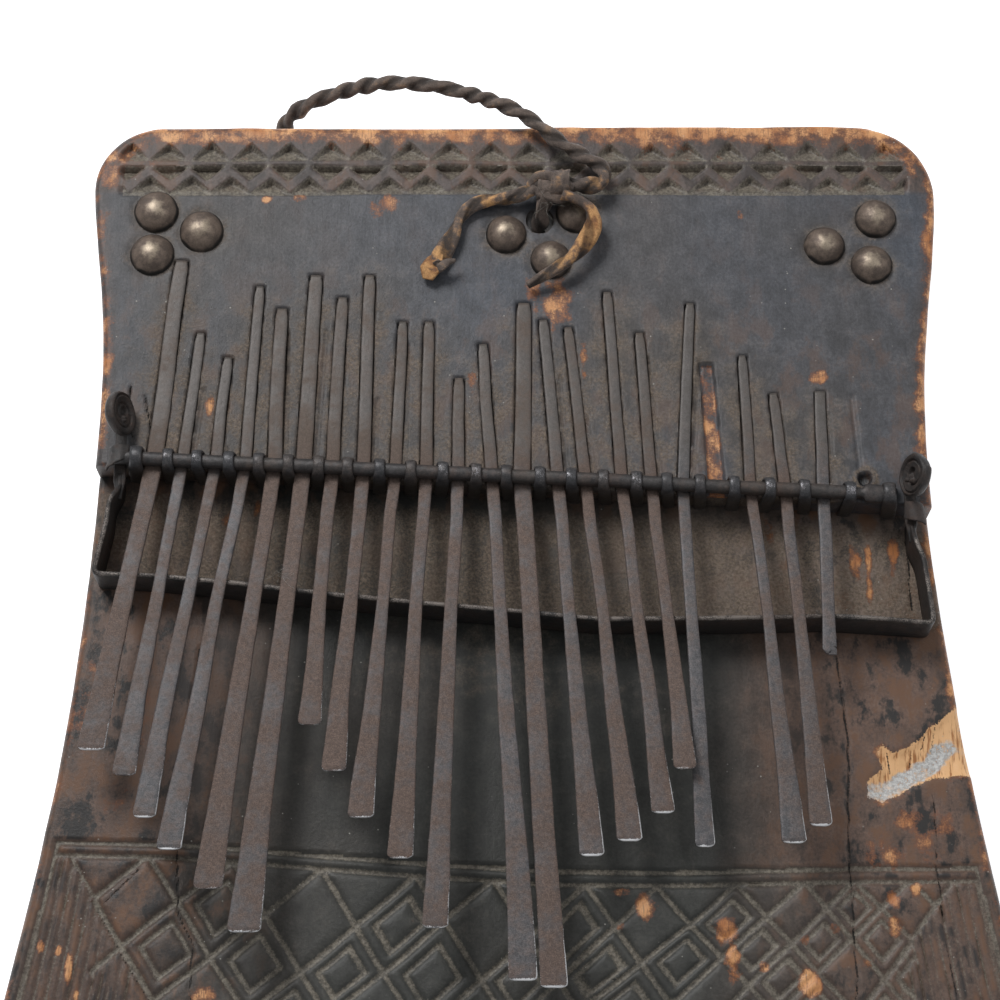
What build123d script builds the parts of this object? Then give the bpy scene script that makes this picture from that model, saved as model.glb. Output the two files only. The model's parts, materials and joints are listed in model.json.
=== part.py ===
from build123d import *
from collections import namedtuple
import math
import os

# A bell-shaped mbira: a hardwood block hollowed from the player's end, with twenty-one forged iron tines
# clamped under a pressure bar, an iron strap bridge, brass tacks and a twisted hide thong.
# Millimetres. +X to the player's right, +Y to the far end, +Z up out of the playing face. The origin is under
# the middle of the body, on the surface that it rests on.

os.makedirs("parts", exist_ok=True)

# ---------------------------------------------------------------- body
BODY_LENGTH = 255.0
FAR_Y = BODY_LENGTH / 2
NEAR_Y = -BODY_LENGTH / 2
FACE_Z = 36.0  # upper face, where the tails of the tines lie
STEP_DROP = 8.0  # the sound board lies this far below the upper face
SOUND_Z = FACE_Z - STEP_DROP
# How far each side stands from the middle against y: shoulder, waist under the bar, and flare of the bell.
LEFT_SIDE = [
    (104.4, FAR_Y),
    (104.7, 105.0),
    (101.2, 72.0),
    (100.9, 52.0),
    (103.6, 0.0),
    (108.0, -40.0),
    (113.0, -69.0),
    (124.0, NEAR_Y),
]
RIGHT_SIDE = [
    (103.6, FAR_Y),
    (104.6, 95.0),
    (101.2, 66.0),
    (100.3, 50.0),
    (103.0, -3.0),
    (107.9, -40.0),
    (112.7, -69.0),
    (124.0, NEAR_Y),
]
FAR_CORNERS = (17.0, 19.0)  # left, right
NEAR_CORNER = 9.0
WORN_EDGE = 1.6

# The hollow opens at the player's end and widens with the bell.
HOLLOW_END_Y = 14.0
HOLLOW_HALF_INNER = 78.0
HOLLOW_HALF_MOUTH = 98.0
HOLLOW_FLOOR = 5.0
SOUND_BOARD_THICKNESS = 6.0
HOLLOW_CORNER = 14.0

# The back is cut away towards the far end, which leaves a thin head for the thong.
RELIEF_START_Y = 12.0
RELIEF_KNEE = (75.0, 19.0)
HEAD_THICKNESS = 12.0
RELIEF_BLEND = 40.0

# ---------------------------------------------------------------- bar, hoops and bridge
BAR_RADIUS = 1.65
BAR_Y = 32.3  # where the bar crosses the middle of the body
BAR_SLOPE = -0.052  # the bar drops towards the player on the right
BAR_ENDS = (-97.0, 91.5)
STEP_SETBACK = 1.6  # the step's wall stands this far in front of the bar's axis
TAIL_THICKNESS = 1.3
GROOVE_DEPTH = 1.2
GROOVE_CLEARANCE = 0.25
BAR_Z = FACE_Z - GROOVE_DEPTH + TAIL_THICKNESS + BAR_RADIUS + 0.02

HOOP_WIDTH = 2.7
HOOP_THICKNESS = 0.9
HOOP_INNER = BAR_RADIUS + 0.05
HOOP_TIP_Z = FACE_Z - 18.0
HOOP_SLOT_CLEARANCE = 0.05
LAST_HOOP_X = 80.6
END_HOOP_X = (-91.4, 90.3)
END_HOOP_WIDTH = 3.2
END_HOOP_THICKNESS = 1.2

STRAP_THICKNESS = 1.3
STRAP_TOP = FACE_Z + 3.0
STRAP_CORNER = 1.25
# The strap's run in plan from corner to corner, then each arm back to the bar.
BRIDGE_RUN = [
    (-100.0, 7.5),
    (-86.4, 6.8),
    (-50.8, 3.0),
    (-15.2, -0.7),
    (20.2, -3.9),
    (43.8, -3.9),
    (74.5, -3.3),
    (99.0, -4.9),
]
LEFT_ARM = [(-95.2, 33.5), (-95.2, 29.5), (-97.2, 25.5), (-97.4, 21.0)]
RIGHT_ARM = [(97.2, 11.6), (95.5, 15.5), (95.3, 22.6)]
TANG_WIDTH = 3.0
TANG_REACH = (47.0, 31.2)  # how far back each end of the strap runs, left and right
SCROLL_RADIUS = 5.4
SCROLL_THICKNESS = 2.6
SCROLL_LEAN = 62.0
SCROLL_X = (-94.9, 96.0)
SCROLL_Z = FACE_Z + 5.5
FLAP = (4.6, 5.0, 0.8)
FLAP_CORNER = (93.9, 25.6)  # the left back corner of the flap

# ---------------------------------------------------------------- tines
# bar_x: where the tine passes under the bar. tail and tip: the two ends in plan. shaft and tip_width: the
# width along the shaft and at the flared, hammered tip. tip_z: height of the tip's middle above the face.
Tine = namedtuple("Tine", "bar_x tail tip shaft tip_width tip_z")
TINES = [
    Tine(-87.0, (-82.3, 90.0), (-98.0, -37.0), 4.2, 6.4, 6.5),
    Tine(-80.2, (-76.9, 70.5), (-90.1, -43.0), 2.9, 5.6, 6.5),
    Tine(-72.2, (-70.0, 64.0), (-85.1, -53.0), 2.9, 5.4, 6.5),
    Tine(-65.0, (-62.7, 83.0), (-79.1, -60.5), 2.9, 5.9, 6.5),
    Tine(-57.9, (-57.1, 77.0), (-69.9, -69.5), 3.6, 6.8, 6.5),
    Tine(-50.9, (-48.9, 86.0), (-61.4, -79.5), 3.9, 7.6, 6.5),
    Tine(-43.9, (-42.2, 80.0), (-47.6, -31.0), 3.3, 5.6, 6.5),
    Tine(-36.4, (-35.6, 86.0), (-41.8, -42.0), 3.3, 5.9, 6.5),
    Tine(-28.7, (-27.3, 73.5), (-35.4, -53.0), 2.9, 6.3, 6.5),
    Tine(-21.2, (-20.9, 73.5), (-26.2, -62.5), 3.1, 6.1, 6.5),
    Tine(-13.5, (-13.4, 58.5), (-18.1, -78.5), 3.1, 6.1, 6.5),
    Tine(-5.3, (-7.6, 67.5), (1.9, -90.5), 3.1, 6.8, 6.5),
    Tine(1.9, (2.5, 78.5), (8.8, -92.0), 4.2, 6.2, 6.0),
    Tine(10.6, (7.2, 74.0), (17.6, -62.0), 3.1, 5.9, 6.5),
    Tine(17.3, (13.3, 72.0), (26.3, -58.5), 2.9, 6.1, 6.5),
    Tine(26.0, (23.0, 81.5), (34.1, -52.0), 2.9, 5.5, 6.5),
    Tine(33.2, (30.8, 70.5), (39.2, -42.0), 2.9, 5.4, 8.5),
    Tine(40.7, (43.5, 78.5), (43.6, -59.5), 2.9, 4.6, 4.8),
    Tine(57.0, (55.9, 64.5), (63.9, -59.0), 2.7, 5.8, 6.5),
    Tine(65.4, (63.2, 54.5), (70.1, -55.0), 2.9, 5.3, 6.5),
    Tine(74.5, (74.6, 55.0), (73.9, -13.5), 2.9, 3.3, 4.6),
]
EMPTY_GROOVE = Tine(48.9, (47.0, 62.0), (50.0, -10.0), 3.6, 3.6, 0.0)  # the tine that is missing
FAINT_GROOVE = Tine(84.1, (82.2, 54.0), (85.0, -10.0), 1.4, 1.4, 0.0)  # a layout cut with no tine
TAIL_TAPER = 0.85
TONGUE_THICKNESS = 1.15
TIP_THICKNESS = 0.8
TIP_CORNER = 0.9
BRIDGE_CLEARANCE = 0.02
SPLIT_GAP = 0.2  # between the clamped tail and the free tongue
SHOULDER = 0.6  # the flare starts this far along the tongue

# ---------------------------------------------------------------- tacks and thong
TACKS = {
    "tacks_left": (5.5, [(-89.2, 103.4), (-77.7, 98.0), (-89.7, 91.6)]),
    "tacks_right": (5.1, [(90.2, 101.4), (77.2, 94.0), (88.7, 88.9)]),
    "tacks_hole": (5.1, [(-1.9, 97.2), (15.6, 102.8), (9.2, 90.2)]),
}
DOME_HEIGHT = 3.4
SHANK_RADIUS = 0.9
SHANK_LENGTH = 8.0
SHANK_CLEARANCE = 0.05

HOLE = (6.5, 101.0)
HOLE_RADIUS = 3.5
THONG_DIAMETER = 3.6
KNOT_CENTRE = (10.0, 108.3, FACE_Z + 5.6)
KNOT_HALF_LENGTH = 6.6
KNOT_RADIUS = 3.9
# Heights are above the floor. The loop leaves the knot, folds back, crosses the far edge, hangs round behind
# it and comes up through the hole.
LOOP_ROUTE = [
    (13.8, 108.4, 40.8),
    (21.8, 107.8, 40.4),
    (23.2, 112.8, 40.4),
    (17.6, 116.2, 40.6),
    (11.4, 120.2, 40.8),
    (6.4, 125.0, 40.8),
    (1.0, 129.6, 39.8),
    (-8.5, 134.4, 38.2),
    (-21.2, 138.9, 36.4),
    (-33.9, 140.4, 34.6),
    (-46.0, 138.4, 32.2),
    (-55.0, 136.4, 28.0),
    (-60.0, 133.6, 21.6),
    (-57.4, 126.0, 16.0),
    (-46.5, 116.5, 14.6),
    (-30.0, 108.5, 14.4),
    (-12.5, 103.2, 14.6),
    (-1.0, 101.3, 14.8),
    (5.4, 101.0, 18.4),
    (6.5, 101.0, 26.0),
    (6.4, 100.7, 35.4),
    (8.2, 105.8, 40.2),
]
LEFT_TAIL_ROUTE = [
    (5.4, 107.4, 40.6),
    (-0.6, 105.6, 38.6),
    (-8.2, 105.6, 38.0),
    (-13.0, 102.0, 37.9),
    (-15.6, 94.4, 37.9),
    (-20.4, 86.0, 37.9),
]
RIGHT_TAIL_ROUTE = [
    (12.0, 105.2, 42.6),
    (18.8, 103.2, 41.6),
    (20.2, 97.2, 41.0),
    (16.8, 91.0, 41.2),
    (11.4, 86.0, 41.0),
    (3.4, 82.2, 38.4),
]


def bar_y(x):
    """The bar's axis in plan."""
    return BAR_Y + BAR_SLOPE * x


def bridge_y(x):
    """The strap's middle in plan, between its corners."""
    for (x0, y0), (x1, y1) in zip(BRIDGE_RUN, BRIDGE_RUN[1:]):
        if x <= x1:
            break
    return y0 + (y1 - y0) * (x - x0) / (x1 - x0)


def tine_x(tine, y):
    """Where a tine's centre line lies, on the line from the bar to its tip."""
    top = bar_y(tine.bar_x)
    return tine.bar_x + (tine.tip[0] - tine.bar_x) * (top - y) / (top - tine.tip[1])


def bridge_crossing(tine):
    """Where a tine's centre line crosses the strap."""
    x = tine.bar_x
    for _ in range(5):
        x = tine_x(tine, bridge_y(x))
    return x, bridge_y(x)


def tine_section(x, y, z):
    """An upright plane facing the player, for one cross-section of a tine."""
    return Plane(origin=(x, y, z), x_dir=(1, 0, 0), z_dir=(0, -1, 0))


def groove_outline(tine, clearance):
    """Plan of the groove that a tail lies in, from its end to past the step."""
    half = tine.shaft / 2 + clearance
    end = tine.tail[1] + 2 * clearance
    front = bar_y(tine.bar_x) - 3 * STEP_SETBACK
    return [
        (tine.tail[0] - half * TAIL_TAPER, end),
        (tine.tail[0] + half * TAIL_TAPER, end),
        (tine.bar_x + half, bar_y(tine.bar_x)),
        (tine_x(tine, front) + half, front),
        (tine_x(tine, front) - half, front),
        (tine.bar_x - half, bar_y(tine.bar_x)),
    ]


def corner_radii(route):
    """One tangent arc for each corner of a route, as large as its two runs allow."""
    points = [Vector(*p) for p in route]
    radii = []
    for a, b, c in zip(points, points[1:], points[2:]):
        half_turn = math.radians((b - a).get_angle(c - b)) / 2
        radii.append(0.45 * min((b - a).length, (c - b).length) / math.tan(half_turn))
    return radii


def save(part, name):
    part.label = name
    export_step(part, f"parts/{name}.step")


# The bar runs along this plane's x; its y points to the far end.
BAR_ALONG = Vector(1, BAR_SLOPE, 0).normalized()
BAR_PLANE = Plane(origin=(0, BAR_Y, 0), x_dir=BAR_ALONG, z_dir=(0, 0, 1))
# Hoops stand between neighbouring tines, the missing one included, and one more stands after the last.
crossings = sorted([tine.bar_x for tine in TINES] + [EMPTY_GROOVE.bar_x])
HOOP_X = [(a + b) / 2 for a, b in zip(crossings, crossings[1:])] + [LAST_HOOP_X]
HOOPS = [(x, HOOP_WIDTH, HOOP_THICKNESS) for x in HOOP_X]
HOOPS += [(x, END_HOOP_WIDTH, END_HOOP_THICKNESS) for x in END_HOOP_X]

# ---------------------------------------------------------------- sound board
with BuildPart() as sound_board:
    with BuildSketch() as outline:
        with BuildLine():
            right = Spline(*RIGHT_SIDE)
            left = Spline(*[(-out, y) for out, y in LEFT_SIDE])
            Line(right @ 0, left @ 0)
            Line(right @ 1, left @ 1)
        make_face()
        fillet(outline.vertices().group_by(Axis.Y)[-1].sort_by(Axis.X)[0], FAR_CORNERS[0])
        fillet(outline.vertices().group_by(Axis.Y)[-1].sort_by(Axis.X)[-1], FAR_CORNERS[1])
        fillet(outline.vertices().group_by(Axis.Y)[0], NEAR_CORNER)
    extrude(amount=FACE_Z)
    # The step down to the sound board, just in front of the bar.
    with BuildSketch(BAR_PLANE.offset(SOUND_Z)):
        with Locations((0, -STEP_SETBACK)):
            Rectangle(2 * BODY_LENGTH, BODY_LENGTH, align=(Align.CENTER, Align.MAX))
    extrude(amount=STEP_DROP, mode=Mode.SUBTRACT)
    # Handling has rounded the rims of both faces.
    rims = sound_board.faces().filter_by(Axis.Z).sort_by(Axis.Z)[1:]
    rim_edges = [e for face in rims for e in face.edges() if abs(e.center().Y - bar_y(e.center().X)) > 5]
    fillet(rim_edges, WORN_EDGE)
    # The hollow, open at the player's end.
    with BuildSketch(Plane.XY.offset(HOLLOW_FLOOR)) as hollow:
        with BuildLine():
            Polyline(
                (-HOLLOW_HALF_INNER, HOLLOW_END_Y),
                (HOLLOW_HALF_INNER, HOLLOW_END_Y),
                (HOLLOW_HALF_MOUTH, NEAR_Y - 1),
                (-HOLLOW_HALF_MOUTH, NEAR_Y - 1),
                close=True,
            )
        make_face()
        fillet(hollow.vertices().group_by(Axis.Y)[-1], HOLLOW_CORNER)
    extrude(amount=SOUND_Z - SOUND_BOARD_THICKNESS - HOLLOW_FLOOR, mode=Mode.SUBTRACT)
    # The back, cut away under the head.
    with BuildSketch(Plane.YZ) as relief:
        with BuildLine():
            Polyline(
                (RELIEF_START_Y, 0),
                RELIEF_KNEE,
                (FAR_Y + 1, FACE_Z - HEAD_THICKNESS),
                (FAR_Y + 1, 0),
                close=True,
            )
        make_face()
        fillet(relief.vertices().sort_by_distance(RELIEF_KNEE)[0], RELIEF_BLEND)
    extrude(amount=BODY_LENGTH / 2, both=True, mode=Mode.SUBTRACT)
    # Grooves for the tails, the empty one and the faint layout cut.
    with BuildSketch(Plane.XY.offset(FACE_Z - GROOVE_DEPTH)):
        for tine in TINES + [EMPTY_GROOVE]:
            with BuildLine():
                Polyline(*groove_outline(tine, GROOVE_CLEARANCE), close=True)
            make_face()
        for x, reach in zip((LEFT_ARM[0][0], RIGHT_ARM[-1][0]), TANG_REACH):
            with Locations((x, reach + 0.2)):
                Rectangle(TANG_WIDTH + 0.4, reach - bar_y(x) + 5, align=(Align.CENTER, Align.MAX))
    extrude(amount=2 * GROOVE_DEPTH, mode=Mode.SUBTRACT)
    with BuildSketch(Plane.XY.offset(FACE_Z - GROOVE_DEPTH / 2)):
        with BuildLine():
            Polyline(*groove_outline(FAINT_GROOVE, 0), close=True)
        make_face()
    extrude(amount=GROOVE_DEPTH, mode=Mode.SUBTRACT)
    # Slots for both legs of every hoop.
    with BuildSketch(BAR_PLANE.offset(HOOP_TIP_Z)):
        for x, width, thickness in HOOPS:
            for side in (-1, 1):
                with Locations((x, side * (HOOP_INNER + thickness / 2))):
                    Rectangle(width + 2 * HOOP_SLOT_CLEARANCE, thickness + 2 * HOOP_SLOT_CLEARANCE)
    extrude(amount=FACE_Z, mode=Mode.SUBTRACT)
    # Nail holes for the tacks, and the hole for the thong.
    with BuildSketch(Plane.XY.offset(FACE_Z - SHANK_LENGTH - 0.2)):
        for dome_radius, places in TACKS.values():
            with Locations(*places):
                Circle(SHANK_RADIUS + SHANK_CLEARANCE)
    extrude(amount=FACE_Z, mode=Mode.SUBTRACT)
    with BuildSketch():
        with Locations(HOLE):
            Circle(HOLE_RADIUS)
    extrude(amount=2 * FACE_Z, mode=Mode.SUBTRACT)
save(sound_board.part, "sound_board")

# ---------------------------------------------------------------- pressure bar
bar_ends = [Vector(x, bar_y(x), BAR_Z) for x in BAR_ENDS]
with BuildPart() as pressure_bar:
    with BuildSketch(Plane(origin=bar_ends[0], z_dir=BAR_ALONG)):
        Circle(BAR_RADIUS)
    extrude(amount=(bar_ends[1] - bar_ends[0]).length)
    chamfer(pressure_bar.edges().filter_by(GeomType.CIRCLE), 0.4)
save(pressure_bar.part, "pressure_bar")


def hoop_section(thickness):
    """Side view of a hoop: two legs and the half turn over the bar. Sketched inside a BuildSketch."""
    outer = HOOP_INNER + thickness
    with Locations((0, BAR_Z)):
        Circle(outer)
    with Locations((0, HOOP_TIP_Z)):
        Rectangle(2 * outer, BAR_Z - HOOP_TIP_Z, align=(Align.CENTER, Align.MIN))
    with Locations((0, BAR_Z)):
        Circle(HOOP_INNER, mode=Mode.SUBTRACT)
    with Locations((0, HOOP_TIP_Z - 1)):
        Rectangle(2 * HOOP_INNER, BAR_Z - HOOP_TIP_Z + 1, align=(Align.CENTER, Align.MIN), mode=Mode.SUBTRACT)


def hoop_plane(x):
    """Upright plane across the bar, its x pointing to the far end."""
    return Plane(origin=BAR_PLANE.from_local_coords(Vector(x, 0, 0)), x_dir=BAR_PLANE.y_dir, z_dir=BAR_ALONG)


# ---------------------------------------------------------------- hoops
with BuildPart() as bar_hoops:
    for x in HOOP_X:
        with BuildSketch(hoop_plane(x)):
            hoop_section(HOOP_THICKNESS)
        extrude(amount=HOOP_WIDTH / 2, both=True)
save(bar_hoops.part, "bar_hoops")

for x, end_hoop_name in zip(END_HOOP_X, ("end_hoop_left", "end_hoop_right")):
    with BuildPart() as end_hoop:
        with BuildSketch(hoop_plane(x)):
            hoop_section(END_HOOP_THICKNESS)
        extrude(amount=END_HOOP_WIDTH / 2, both=True)
    save(end_hoop.part, end_hoop_name)

# ---------------------------------------------------------------- bridge
with BuildPart() as bridge:
    # The strap stands on edge on the sound board, in one run with its two arms.
    with BuildSketch(Plane.XY.offset(SOUND_Z)):
        with BuildLine():
            FilletPolyline(*LEFT_ARM, *BRIDGE_RUN, *RIGHT_ARM, radius=STRAP_CORNER)
        trace(line_width=STRAP_THICKNESS)
    extrude(amount=STRAP_TOP - SOUND_Z)
    # Each end runs back under the bar in its own groove, as a tine does.
    for x, start, reach in zip(
        (LEFT_ARM[0][0], RIGHT_ARM[-1][0]), (LEFT_ARM[1][1], RIGHT_ARM[1][1] + 4), TANG_REACH
    ):
        with BuildSketch(Plane.XY.offset(FACE_Z - GROOVE_DEPTH)):
            with Locations((x, start)):
                Rectangle(TANG_WIDTH, reach - start, align=(Align.CENTER, Align.MIN))
        extrude(amount=TAIL_THICKNESS)
    # Behind the bar each end stands up and is rolled into a scroll that leans outwards.
    for x, scroll_x, reach, side in zip((LEFT_ARM[0][0], RIGHT_ARM[-1][0]), SCROLL_X, TANG_REACH, (-1, 1)):
        with BuildSketch(Plane.XY.offset(FACE_Z - GROOVE_DEPTH)):
            with Locations((x, reach)):
                Rectangle(TANG_WIDTH, STRAP_THICKNESS, align=(Align.CENTER, Align.MAX))
        extrude(amount=SCROLL_Z - FACE_Z + GROOVE_DEPTH)
        lean = math.radians(SCROLL_LEAN)
        scroll_axis = Vector(-side * math.sin(lean), 0, math.cos(lean))
        with BuildSketch(Plane(origin=(scroll_x, reach, SCROLL_Z), z_dir=scroll_axis)):
            Circle(SCROLL_RADIUS)
        extrude(amount=SCROLL_THICKNESS / 2, both=True)
    # A torn flap of the right arm is folded outwards.
    with BuildSketch(Plane.XY.offset(STRAP_TOP - FLAP[2])):
        with Locations(FLAP_CORNER):
            Rectangle(FLAP[0], FLAP[1], align=(Align.MIN, Align.MAX))
    extrude(amount=FLAP[2])
save(bridge.part, "bridge")

# ---------------------------------------------------------------- tines
groove_floor = FACE_Z - GROOVE_DEPTH
for number, tine in enumerate(TINES, 1):
    cross_x, cross_y = bridge_crossing(tine)
    step_y = bar_y(tine.bar_x) - STEP_SETBACK
    strap_back = cross_y + STRAP_THICKNESS / 2
    strap_front = cross_y - STRAP_THICKNESS / 2
    # The tine rises straight from the step to the strap, and the clamped part ends just past it.
    rise = (STRAP_TOP + BRIDGE_CLEARANCE - groove_floor) / (step_y - strap_back)
    tail_end_y = strap_front - SPLIT_GAP
    tail_end_z = STRAP_TOP + BRIDGE_CLEARANCE + rise * (strap_back - tail_end_y)
    root_z = tail_end_z + TONGUE_THICKNESS / 2
    flat = groove_floor + TAIL_THICKNESS / 2
    with BuildPart() as tail:
        with BuildSketch(tine_section(*tine.tail, flat)):
            Rectangle(tine.shaft * TAIL_TAPER, TAIL_THICKNESS)
        with BuildSketch(tine_section(tine.bar_x, bar_y(tine.bar_x), flat)):
            Rectangle(tine.shaft, TAIL_THICKNESS)
        with BuildSketch(tine_section(tine_x(tine, step_y), step_y, flat)):
            Rectangle(tine.shaft, TAIL_THICKNESS)
        with BuildSketch(tine_section(tine_x(tine, tail_end_y), tail_end_y, root_z)):
            Rectangle(tine.shaft, TONGUE_THICKNESS)
        loft(ruled=True)
    save(tail.part, f"tine_{number:02d}_tail")

    root_y = tail_end_y - SPLIT_GAP
    shoulder_y = root_y + SHOULDER * (tine.tip[1] - root_y)
    shoulder_width = tine.shaft + (tine.tip_width - tine.shaft) * SHOULDER * 0.75
    tip_z = FACE_Z + tine.tip_z
    shoulder_z = root_z + SHOULDER * (tip_z - root_z)
    with BuildPart() as tongue:
        with BuildSketch(tine_section(tine_x(tine, root_y), root_y, root_z)):
            Rectangle(tine.shaft, TONGUE_THICKNESS)
        with BuildSketch(tine_section(tine_x(tine, shoulder_y), shoulder_y, shoulder_z)):
            Rectangle(shoulder_width, TONGUE_THICKNESS)
        with BuildSketch(tine_section(*tine.tip, tip_z)):
            Rectangle(tine.tip_width, TIP_THICKNESS)
        loft(ruled=True)
        fillet(tongue.edges().filter_by(Axis.Z).group_by(Axis.Y)[0], TIP_CORNER)
    save(tongue.part, f"tine_{number:02d}_tongue")

# ---------------------------------------------------------------- tacks
for tack_name, (dome_radius, places) in TACKS.items():
    # The head is a cap of a sphere that is centred on the shank's axis.
    ball_radius = (dome_radius**2 + DOME_HEIGHT**2) / (2 * DOME_HEIGHT)
    rim_angle = math.degrees(math.asin((ball_radius - DOME_HEIGHT) / ball_radius))
    with BuildPart() as one_tack:
        with BuildSketch(Plane.XZ):
            with BuildLine():
                CenterArc((0, DOME_HEIGHT - ball_radius), ball_radius, rim_angle, 90 - rim_angle)
                Polyline(
                    (0, DOME_HEIGHT),
                    (0, -SHANK_LENGTH),
                    (SHANK_RADIUS, 1 - SHANK_LENGTH),
                    (SHANK_RADIUS, 0),
                    (dome_radius, 0),
                )
            make_face()
        revolve(axis=Axis.Z)
    with BuildPart() as tacks:
        with Locations(*[(x, y, FACE_Z) for x, y in places]):
            add(one_tack.part)
    save(tacks.part, tack_name)

# ---------------------------------------------------------------- thong
with BuildPart() as thong_knot:
    with BuildSketch(Plane(origin=KNOT_CENTRE, x_dir=(1, 0, 0), z_dir=(0, 0, 1))):
        Ellipse(KNOT_HALF_LENGTH, KNOT_RADIUS)
        with Locations((0, -KNOT_RADIUS)):
            Rectangle(2 * KNOT_HALF_LENGTH, 2 * KNOT_RADIUS, mode=Mode.SUBTRACT)
    revolve(axis=Axis(KNOT_CENTRE, (1, 0, 0)))
save(thong_knot.part, "thong_knot")

for route_name, route in (
    ("thong_loop", LOOP_ROUTE),
    ("thong_tail_left", LEFT_TAIL_ROUTE),
    ("thong_tail_right", RIGHT_TAIL_ROUTE),
):
    radii = corner_radii(route)
    with BuildPart() as strand:
        with BuildLine() as path:
            FilletPolyline(*route, radius=radii)
        with BuildSketch(Plane(origin=path.line @ 0, z_dir=path.line % 0)):
            Circle(THONG_DIAMETER / 2)
        sweep()
    save(strand.part, route_name)
    length = path.wire().length
    section = math.pi * THONG_DIAMETER**2 / 4
    fill = strand.part.volume / (section * length)
    print(f"{route_name}: length {length:.1f} mm, volume {fill:.4f} of section x length")
    print("  radii", " ".join(f"{r:.1f}" for r in radii))
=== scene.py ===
import json
import math

import bpy
import numpy as np
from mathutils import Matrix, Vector


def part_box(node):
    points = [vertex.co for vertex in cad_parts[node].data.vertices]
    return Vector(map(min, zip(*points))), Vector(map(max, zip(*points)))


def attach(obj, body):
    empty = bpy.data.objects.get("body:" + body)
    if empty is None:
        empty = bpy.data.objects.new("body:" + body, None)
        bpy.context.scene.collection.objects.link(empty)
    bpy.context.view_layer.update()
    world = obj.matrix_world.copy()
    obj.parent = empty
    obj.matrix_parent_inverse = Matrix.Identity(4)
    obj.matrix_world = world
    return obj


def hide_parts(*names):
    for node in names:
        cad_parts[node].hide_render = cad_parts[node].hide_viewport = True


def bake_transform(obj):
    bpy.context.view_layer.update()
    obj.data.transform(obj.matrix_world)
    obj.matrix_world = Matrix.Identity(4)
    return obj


# The looks of a bell-shaped mbira. Lengths here are millimetres in the part's own frame, with +X to the
# player's right, +Y to the far end and +Z up out of the playing face; MM turns them into Blender's metres.
MM = 0.001
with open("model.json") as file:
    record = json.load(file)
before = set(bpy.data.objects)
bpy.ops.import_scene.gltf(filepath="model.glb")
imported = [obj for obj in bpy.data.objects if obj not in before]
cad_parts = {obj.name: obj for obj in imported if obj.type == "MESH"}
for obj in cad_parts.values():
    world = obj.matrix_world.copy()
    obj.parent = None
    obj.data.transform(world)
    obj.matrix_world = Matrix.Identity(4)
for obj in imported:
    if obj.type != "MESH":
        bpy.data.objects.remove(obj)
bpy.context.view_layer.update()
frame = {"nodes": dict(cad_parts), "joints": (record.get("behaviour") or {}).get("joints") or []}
scene = bpy.context.scene


def box_mm(node):
    """Lowest and highest corner of a CAD node, in millimetres."""
    low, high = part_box(node)
    return np.array(low) / MM, np.array(high) / MM


board_low, board_high = box_mm("sound_board")
bar_low, bar_high = box_mm("pressure_bar")
FACE_Z = board_high[2]  # upper face, behind the bar
SOUND_Z = FACE_Z - 8.0  # sound board, in front of the bar
FAR_Y = board_high[1]
NEAR_Y = board_low[1]
BAR_RADIUS = (bar_high[2] - bar_low[2]) / 2
BAR_Z = (bar_high[2] + bar_low[2]) / 2
BAR_SLOPE = -(bar_high[1] - bar_low[1] - 2 * BAR_RADIUS) / (bar_high[0] - bar_low[0])
BAR_Y = (bar_low[1] + bar_high[1]) / 2 - BAR_SLOPE * (bar_low[0] + bar_high[0]) / 2
STEP_SETBACK = 1.6  # the step's wall stands this far in front of the bar's axis

# ---------------------------------------------------------------- camera
CAMERA_TARGET = Vector((-3.4, 26.8, FACE_Z)) * MM
CAMERA_ELEVATION = math.radians(70.0)
CAMERA_DISTANCE = 700.0 * MM
CAMERA_ANGLE = math.radians(19.5)

camera_back = Vector((0.0, -math.cos(CAMERA_ELEVATION), math.sin(CAMERA_ELEVATION)))
camera = bpy.data.objects.new("camera", bpy.data.cameras.new("camera"))
camera.data.angle = CAMERA_ANGLE
camera.location = CAMERA_TARGET + camera_back * CAMERA_DISTANCE
camera.rotation_mode = "QUATERNION"
camera.rotation_quaternion = (-camera_back).to_track_quat("-Z", "Y")
scene.collection.objects.link(camera)
scene.camera = camera
scene.view_settings.view_transform = "Standard"


# ---------------------------------------------------------------- noise and shape helpers
def lerp(a, b, t):
    return a + (b - a) * t


def smooth_step(low, high, value):
    """0 below low and 1 above high, with a smooth rise between; low may be the larger one."""
    t = np.clip((value - low) / (high - low), 0.0, 1.0)
    return t * t * (3.0 - 2.0 * t)


def cell_value(ix, iy, seed):
    """A repeatable random number from -1 to 1 for each whole-number cell."""
    n = ix.astype(np.int64) * 374761393 + iy.astype(np.int64) * 668265263 + seed * 974634777
    n = (n ^ (n >> 13)) & 0x7FFFFFFF
    n = (n * (n * n % 1000003 * 15731 + 789221) + 1376312589) & 0x7FFFFFFF
    return n / 0x3FFFFFFF - 1.0


def chance(number, seed):
    """One random value from -1 to 1 that belongs to a number."""
    return float(cell_value(np.array([number]), np.array([1]), seed)[0])


def lumps(x, y, size, seed):
    """Smooth noise from -1 to 1 with lumps about size across."""
    u, v = np.asarray(x, float) / size, np.asarray(y, float) / size
    u, v = np.broadcast_arrays(u, v)
    iu, iv = np.floor(u), np.floor(v)
    fu, fv = smooth_step(0, 1, u - iu), smooth_step(0, 1, v - iv)
    low = lerp(cell_value(iu, iv, seed), cell_value(iu + 1, iv, seed), fu)
    high = lerp(cell_value(iu, iv + 1, seed), cell_value(iu + 1, iv + 1, seed), fu)
    return lerp(low, high, fv)


def rough(x, y, size, seed, octaves=4):
    """Several sizes of lumps added up, still about -1 to 1."""
    total, share = 0.0, 0.55
    for k in range(octaves):
        total = total + share * lumps(x, y, size / 2**k, seed + 17 * k)
        share *= 0.55
    return total


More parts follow.
